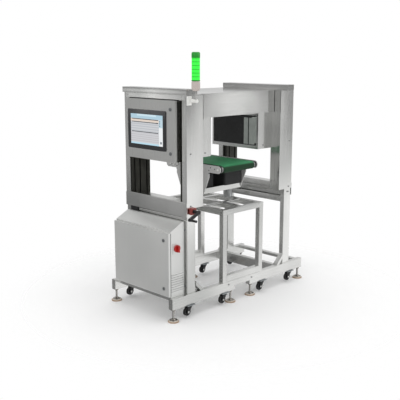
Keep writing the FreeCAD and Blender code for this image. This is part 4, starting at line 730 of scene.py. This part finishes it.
def window_panels():
    """Opal panels either side of a slit, just behind each camera pane at its near end."""
    low, high = span("camera_windows")
    behind, half_thick = 1.9, 0.5
    bottom, top = low[2] + 10.0, high[2] - 22.0
    panels = [
        (x - half_thick, x + half_thick, y0, y1, bottom, top)
        for x in (low[0] - behind, high[0] + behind)
        for y0, y1 in ((-108.0, -66.0), (-58.0, -26.0))
    ]
    detail("window_panels", [slabs(panels)], "camera_units", "diffuser", bevel=0.3)


def lock_slots():
    """The sunk key slots of the quarter-turn locks: a dark bar across a bright disc on each."""
    core = [(5.2, 0.0), (5.2, 0.15), (4.8, 0.3), (1.0, 0.3)]
    cap_radius, half_length, half_height, sunk = 9.0, 4.0, 0.9, 0.2
    for door in ("cabinet", "hmi"):
        for end in ("top", "bottom"):
            node = f"{door}_lock_{end}"
            low, high = span(node)
            x, y, z = low[0], (low[1] + high[1]) / 2, low[2] + cap_radius
            bar = (x - sunk, x + sunk, y - half_length, y + half_length, z - half_height, z + half_height)
            detail(f"{node}_slot", [slabs([bar])], node, "black_polyamide")
            disc = turned(core, [(x + sunk, y, z)], left, 32)
            detail(f"{node}_core", [disc], node, "turned_steel")


def cabinet_wiring():
    """Slotted wiring ducts and a terminal row inside the control cabinet."""
    low, high = span("cabinet_electronics")
    tooth, tooth_pitch = 6.5, 10.0
    starts = np.arange(low[1] + 20.5, 210.0, tooth_pitch)
    teeth = [
        (high[0] - 33.0, high[0] - 8.0, y, y + tooth, z - 2.0, z + 5.0)
        for z in (low[2] + 89.0, high[2] - 20.8)
        for y in starts
    ]
    detail("wiring_duct_teeth", [slabs(teeth)], "cabinet_electronics", "grey_abs", bevel=0.4)
    terminal, terminal_pitch = 5.2, 6.2
    starts = np.arange(low[1] + 27.5, 205.0, terminal_pitch)
    row = [(high[0] - 51.0, high[0] - 45.6, y, y + terminal, low[2] + 36.2, low[2] + 78.2) for y in starts]
    detail("terminal_row", [slabs(row)], "cabinet_electronics", "beige_abs", bevel=0.6)


dress_nodes()
signal_lens()
cap_screws()
screen_picture()
foot_threads()
cabinet_door_seal()
frame_painted_shade_strips()
louvre_slot_shade()
window_panels()
lock_slots()
cabinet_wiring()


# The studio


def studio_floor():
    """A pale round floor under the machine that fades out, so that only its shadow shows.

    A point lies at reach * share ** 1.3 from the middle, for even shares along each spoke.
    """
    rings, spokes, reach = 24, 96, 2600.0
    fade_start, fade_end = 0.72, 1.35
    r = np.linspace(0.0, 1.0, rings)[:, None] ** 1.3 * reach
    turn = np.linspace(0, 2 * np.pi, spokes, endpoint=False)[None, :]
    points = np.stack([r * np.cos(turn), r * np.sin(turn), np.zeros_like(r * turn)], axis=-1)
    mesh = grid_mesh("studio_floor", points, around=True)
    floor = bpy.data.objects.new("studio_floor", mesh)
    bpy.context.scene.collection.objects.link(floor)
    made, tree, shader, place = material("floor_pale_paper")
    distance = add(tree, "ShaderNodeVectorMath", {0: place}, operation="LENGTH")
    fade = add(
        tree,
        "ShaderNodeMapRange",
        {"Value": (distance, "Value"), "From Min": fade_start, "From Max": fade_end},
        interpolation_type="SMOOTHSTEP",
    )
    # Polished metal sees the backdrop through the floor.
    path = add(tree, "ShaderNodeLightPath")
    unseen = {0: (fade, "Result"), 1: (path, "Is Glossy Ray")}
    share = add(tree, "ShaderNodeMath", unseen, operation="MAXIMUM")
    paper = add(tree, "ShaderNodeBsdfDiffuse", {"Color": colour("#ffffff")})
    clear = add(tree, "ShaderNodeBsdfTransparent")
    mix = add(tree, "ShaderNodeMixShader", {"Fac": (share, "Value"), 1: (paper, "BSDF"), 2: (clear, "BSDF")})
    tree.links.new(mix.outputs["Shader"], tree.nodes["Material Output"].inputs["Surface"])
    tree.nodes.remove(shader)
    mesh.materials.append(made)


# What polished metal sees in front, to the left and behind, from straight down (0) to straight up (1).
front_tones = (
    (0.0, "#eaeaea"), (0.36, "#f0f0f0"), (0.39, "#ffffff"), (0.42, "#ffffff"), (0.45, "#8c8c8c"),
    (0.475, "#787878"), (0.50, "#808080"), (0.56, "#d4d4d4"), (0.7, "#f4f4f4"), (1.0, "#ffffff"),
)
left_tones = (
    (0.0, "#8a8a8a"), (0.38, "#828282"), (0.43, "#acacac"), (0.47, "#a0a0a0"), (0.50, "#868686"),
    (0.56, "#aaaaaa"), (1.0, "#d8d8d8"),
)
behind_tones = (
    (0.0, "#808080"), (0.42, "#8a8a8a"), (0.47, "#686868"), (0.52, "#d8d8d8"), (0.75, "#cfcfcf"),
    (1.0, "#cccccc"),
)
# Small soft boxes that the beam and the operator tower's cap mirror, by direction.
soft_boxes = ((0.741, -0.668, -0.068), (-0.655, 0.754, -0.0515))
soft_box_reach = math.radians(2.7)
soft_box_level = (1.4, 1.4, 1.4, 1.0)
room_level = (0.8, 0.8, 0.8, 1.0)
white = (1.0, 1.0, 1.0, 1.0)


def studio_world():
    """A white backdrop, even light on the object, and bands of tone for polished metal to see."""
    world = bpy.data.worlds.new("studio")
    world.use_nodes = True
    bpy.context.scene.world = world
    tree = world.node_tree
    tree.nodes.clear()
    path = add(tree, "ShaderNodeLightPath")
    place = add(tree, "ShaderNodeTexCoord")
    parts = add(tree, "ShaderNodeSeparateXYZ", {"Vector": (place, "Generated")})
    ends = {"From Min": -1.0, "From Max": 1.0}
    height = add(tree, "ShaderNodeMapRange", {"Value": (parts, "Z"), **ends})
    seen = add(tree, "ShaderNodeValToRGB", {"Fac": (height, "Result")}, stops=left_tones), "Color"
    # Each layer covers the last where the view points its way, from a start to a full cosine.
    layers = [((0.7, -0.7, 0.0), -0.35, 0.35, front_tones), ((0.7, 0.7, 0.0), 0.45, 0.9, behind_tones)]
    full, edge = math.cos(soft_box_reach / 3), math.cos(soft_box_reach)
    layers += [(direction, edge, full, ()) for direction in soft_boxes]
    for direction, start, end, tones in layers:
        toward = {0: (place, "Generated"), 1: direction}
        along = add(tree, "ShaderNodeVectorMath", toward, operation="DOT_PRODUCT")
        limits = {"Value": (along, "Value"), "From Min": start, "From Max": end}
        share = add(tree, "ShaderNodeMapRange", limits, interpolation_type="SMOOTHSTEP")
        other = soft_box_level
        if tones:
            other = add(tree, "ShaderNodeValToRGB", {"Fac": (height, "Result")}, stops=tones), "Color"
        mix = {"Factor": (share, "Result"), "A": seen, "B": other}
        seen = add(tree, "ShaderNodeMix", mix, data_type="RGBA"), "Result"
    polished = {0: (path, "Is Glossy Ray"), 1: (path, "Is Transmission Ray")}
    rays = add(tree, "ShaderNodeMath", polished, operation="ADD", use_clamp=True)
    room = {"Factor": (rays, "Value"), "A": room_level, "B": seen}
    lit = add(tree, "ShaderNodeMix", room, data_type="RGBA")
    backdrop = {"Factor": (path, "Is Camera Ray"), "A": (lit, "Result"), "B": white}
    shown = add(tree, "ShaderNodeMix", backdrop, data_type="RGBA")
    sky = add(tree, "ShaderNodeBackground", {"Color": (shown, "Result")})
    add(tree, "ShaderNodeOutputWorld", {"Surface": (sky, "Background")})


def lamp(name, place, target, size, power):
    """A square soft lamp that faces a target."""
    data = bpy.data.lights.new(name, "AREA")
    data.shape = "SQUARE"
    data.size = size
    data.energy = power
    made = bpy.data.objects.new(name, data)
    made.location = place
    made.rotation_euler = (Vector(target) - Vector(place)).to_track_quat("-Z", "Y").to_euler()
    bpy.context.scene.collection.objects.link(made)


def studio_camera():
    """The camera fitted to the photograph: a 63 mm lens on a 36 mm sensor, 11.6 degrees down."""
    data = bpy.data.cameras.new("camera")
    data.lens = 62.87
    data.sensor_width = 36.0
    azimuth, pitch = math.radians(-45.08), math.radians(11.646)
    level = math.cos(pitch)
    ahead = Vector((-math.sin(azimuth) * level, math.cos(azimuth) * level, -math.sin(pitch)))
    made = bpy.data.objects.new("camera", data)
    made.location = (-2.9282, -2.7795, 1.3865)
    made.rotation_mode = "QUATERNION"
    made.rotation_quaternion = ahead.to_track_quat("-Z", "Y")
    bpy.context.scene.collection.objects.link(made)
    bpy.context.scene.camera = made


bpy.context.scene.view_settings.view_transform = "Standard"
studio_floor()
studio_world()
lamp("key", (1.6, -3.2, 2.6), (0, 0, 0.7), 2.4, 14)
lamp("top", (0.2, 0.2, 4.0), (0, 0, 0.5), 2.5, 34)
lamp("fill", (-3.4, -0.6, 1.8), (0, 0, 0.6), 2.4, 6)
studio_camera()
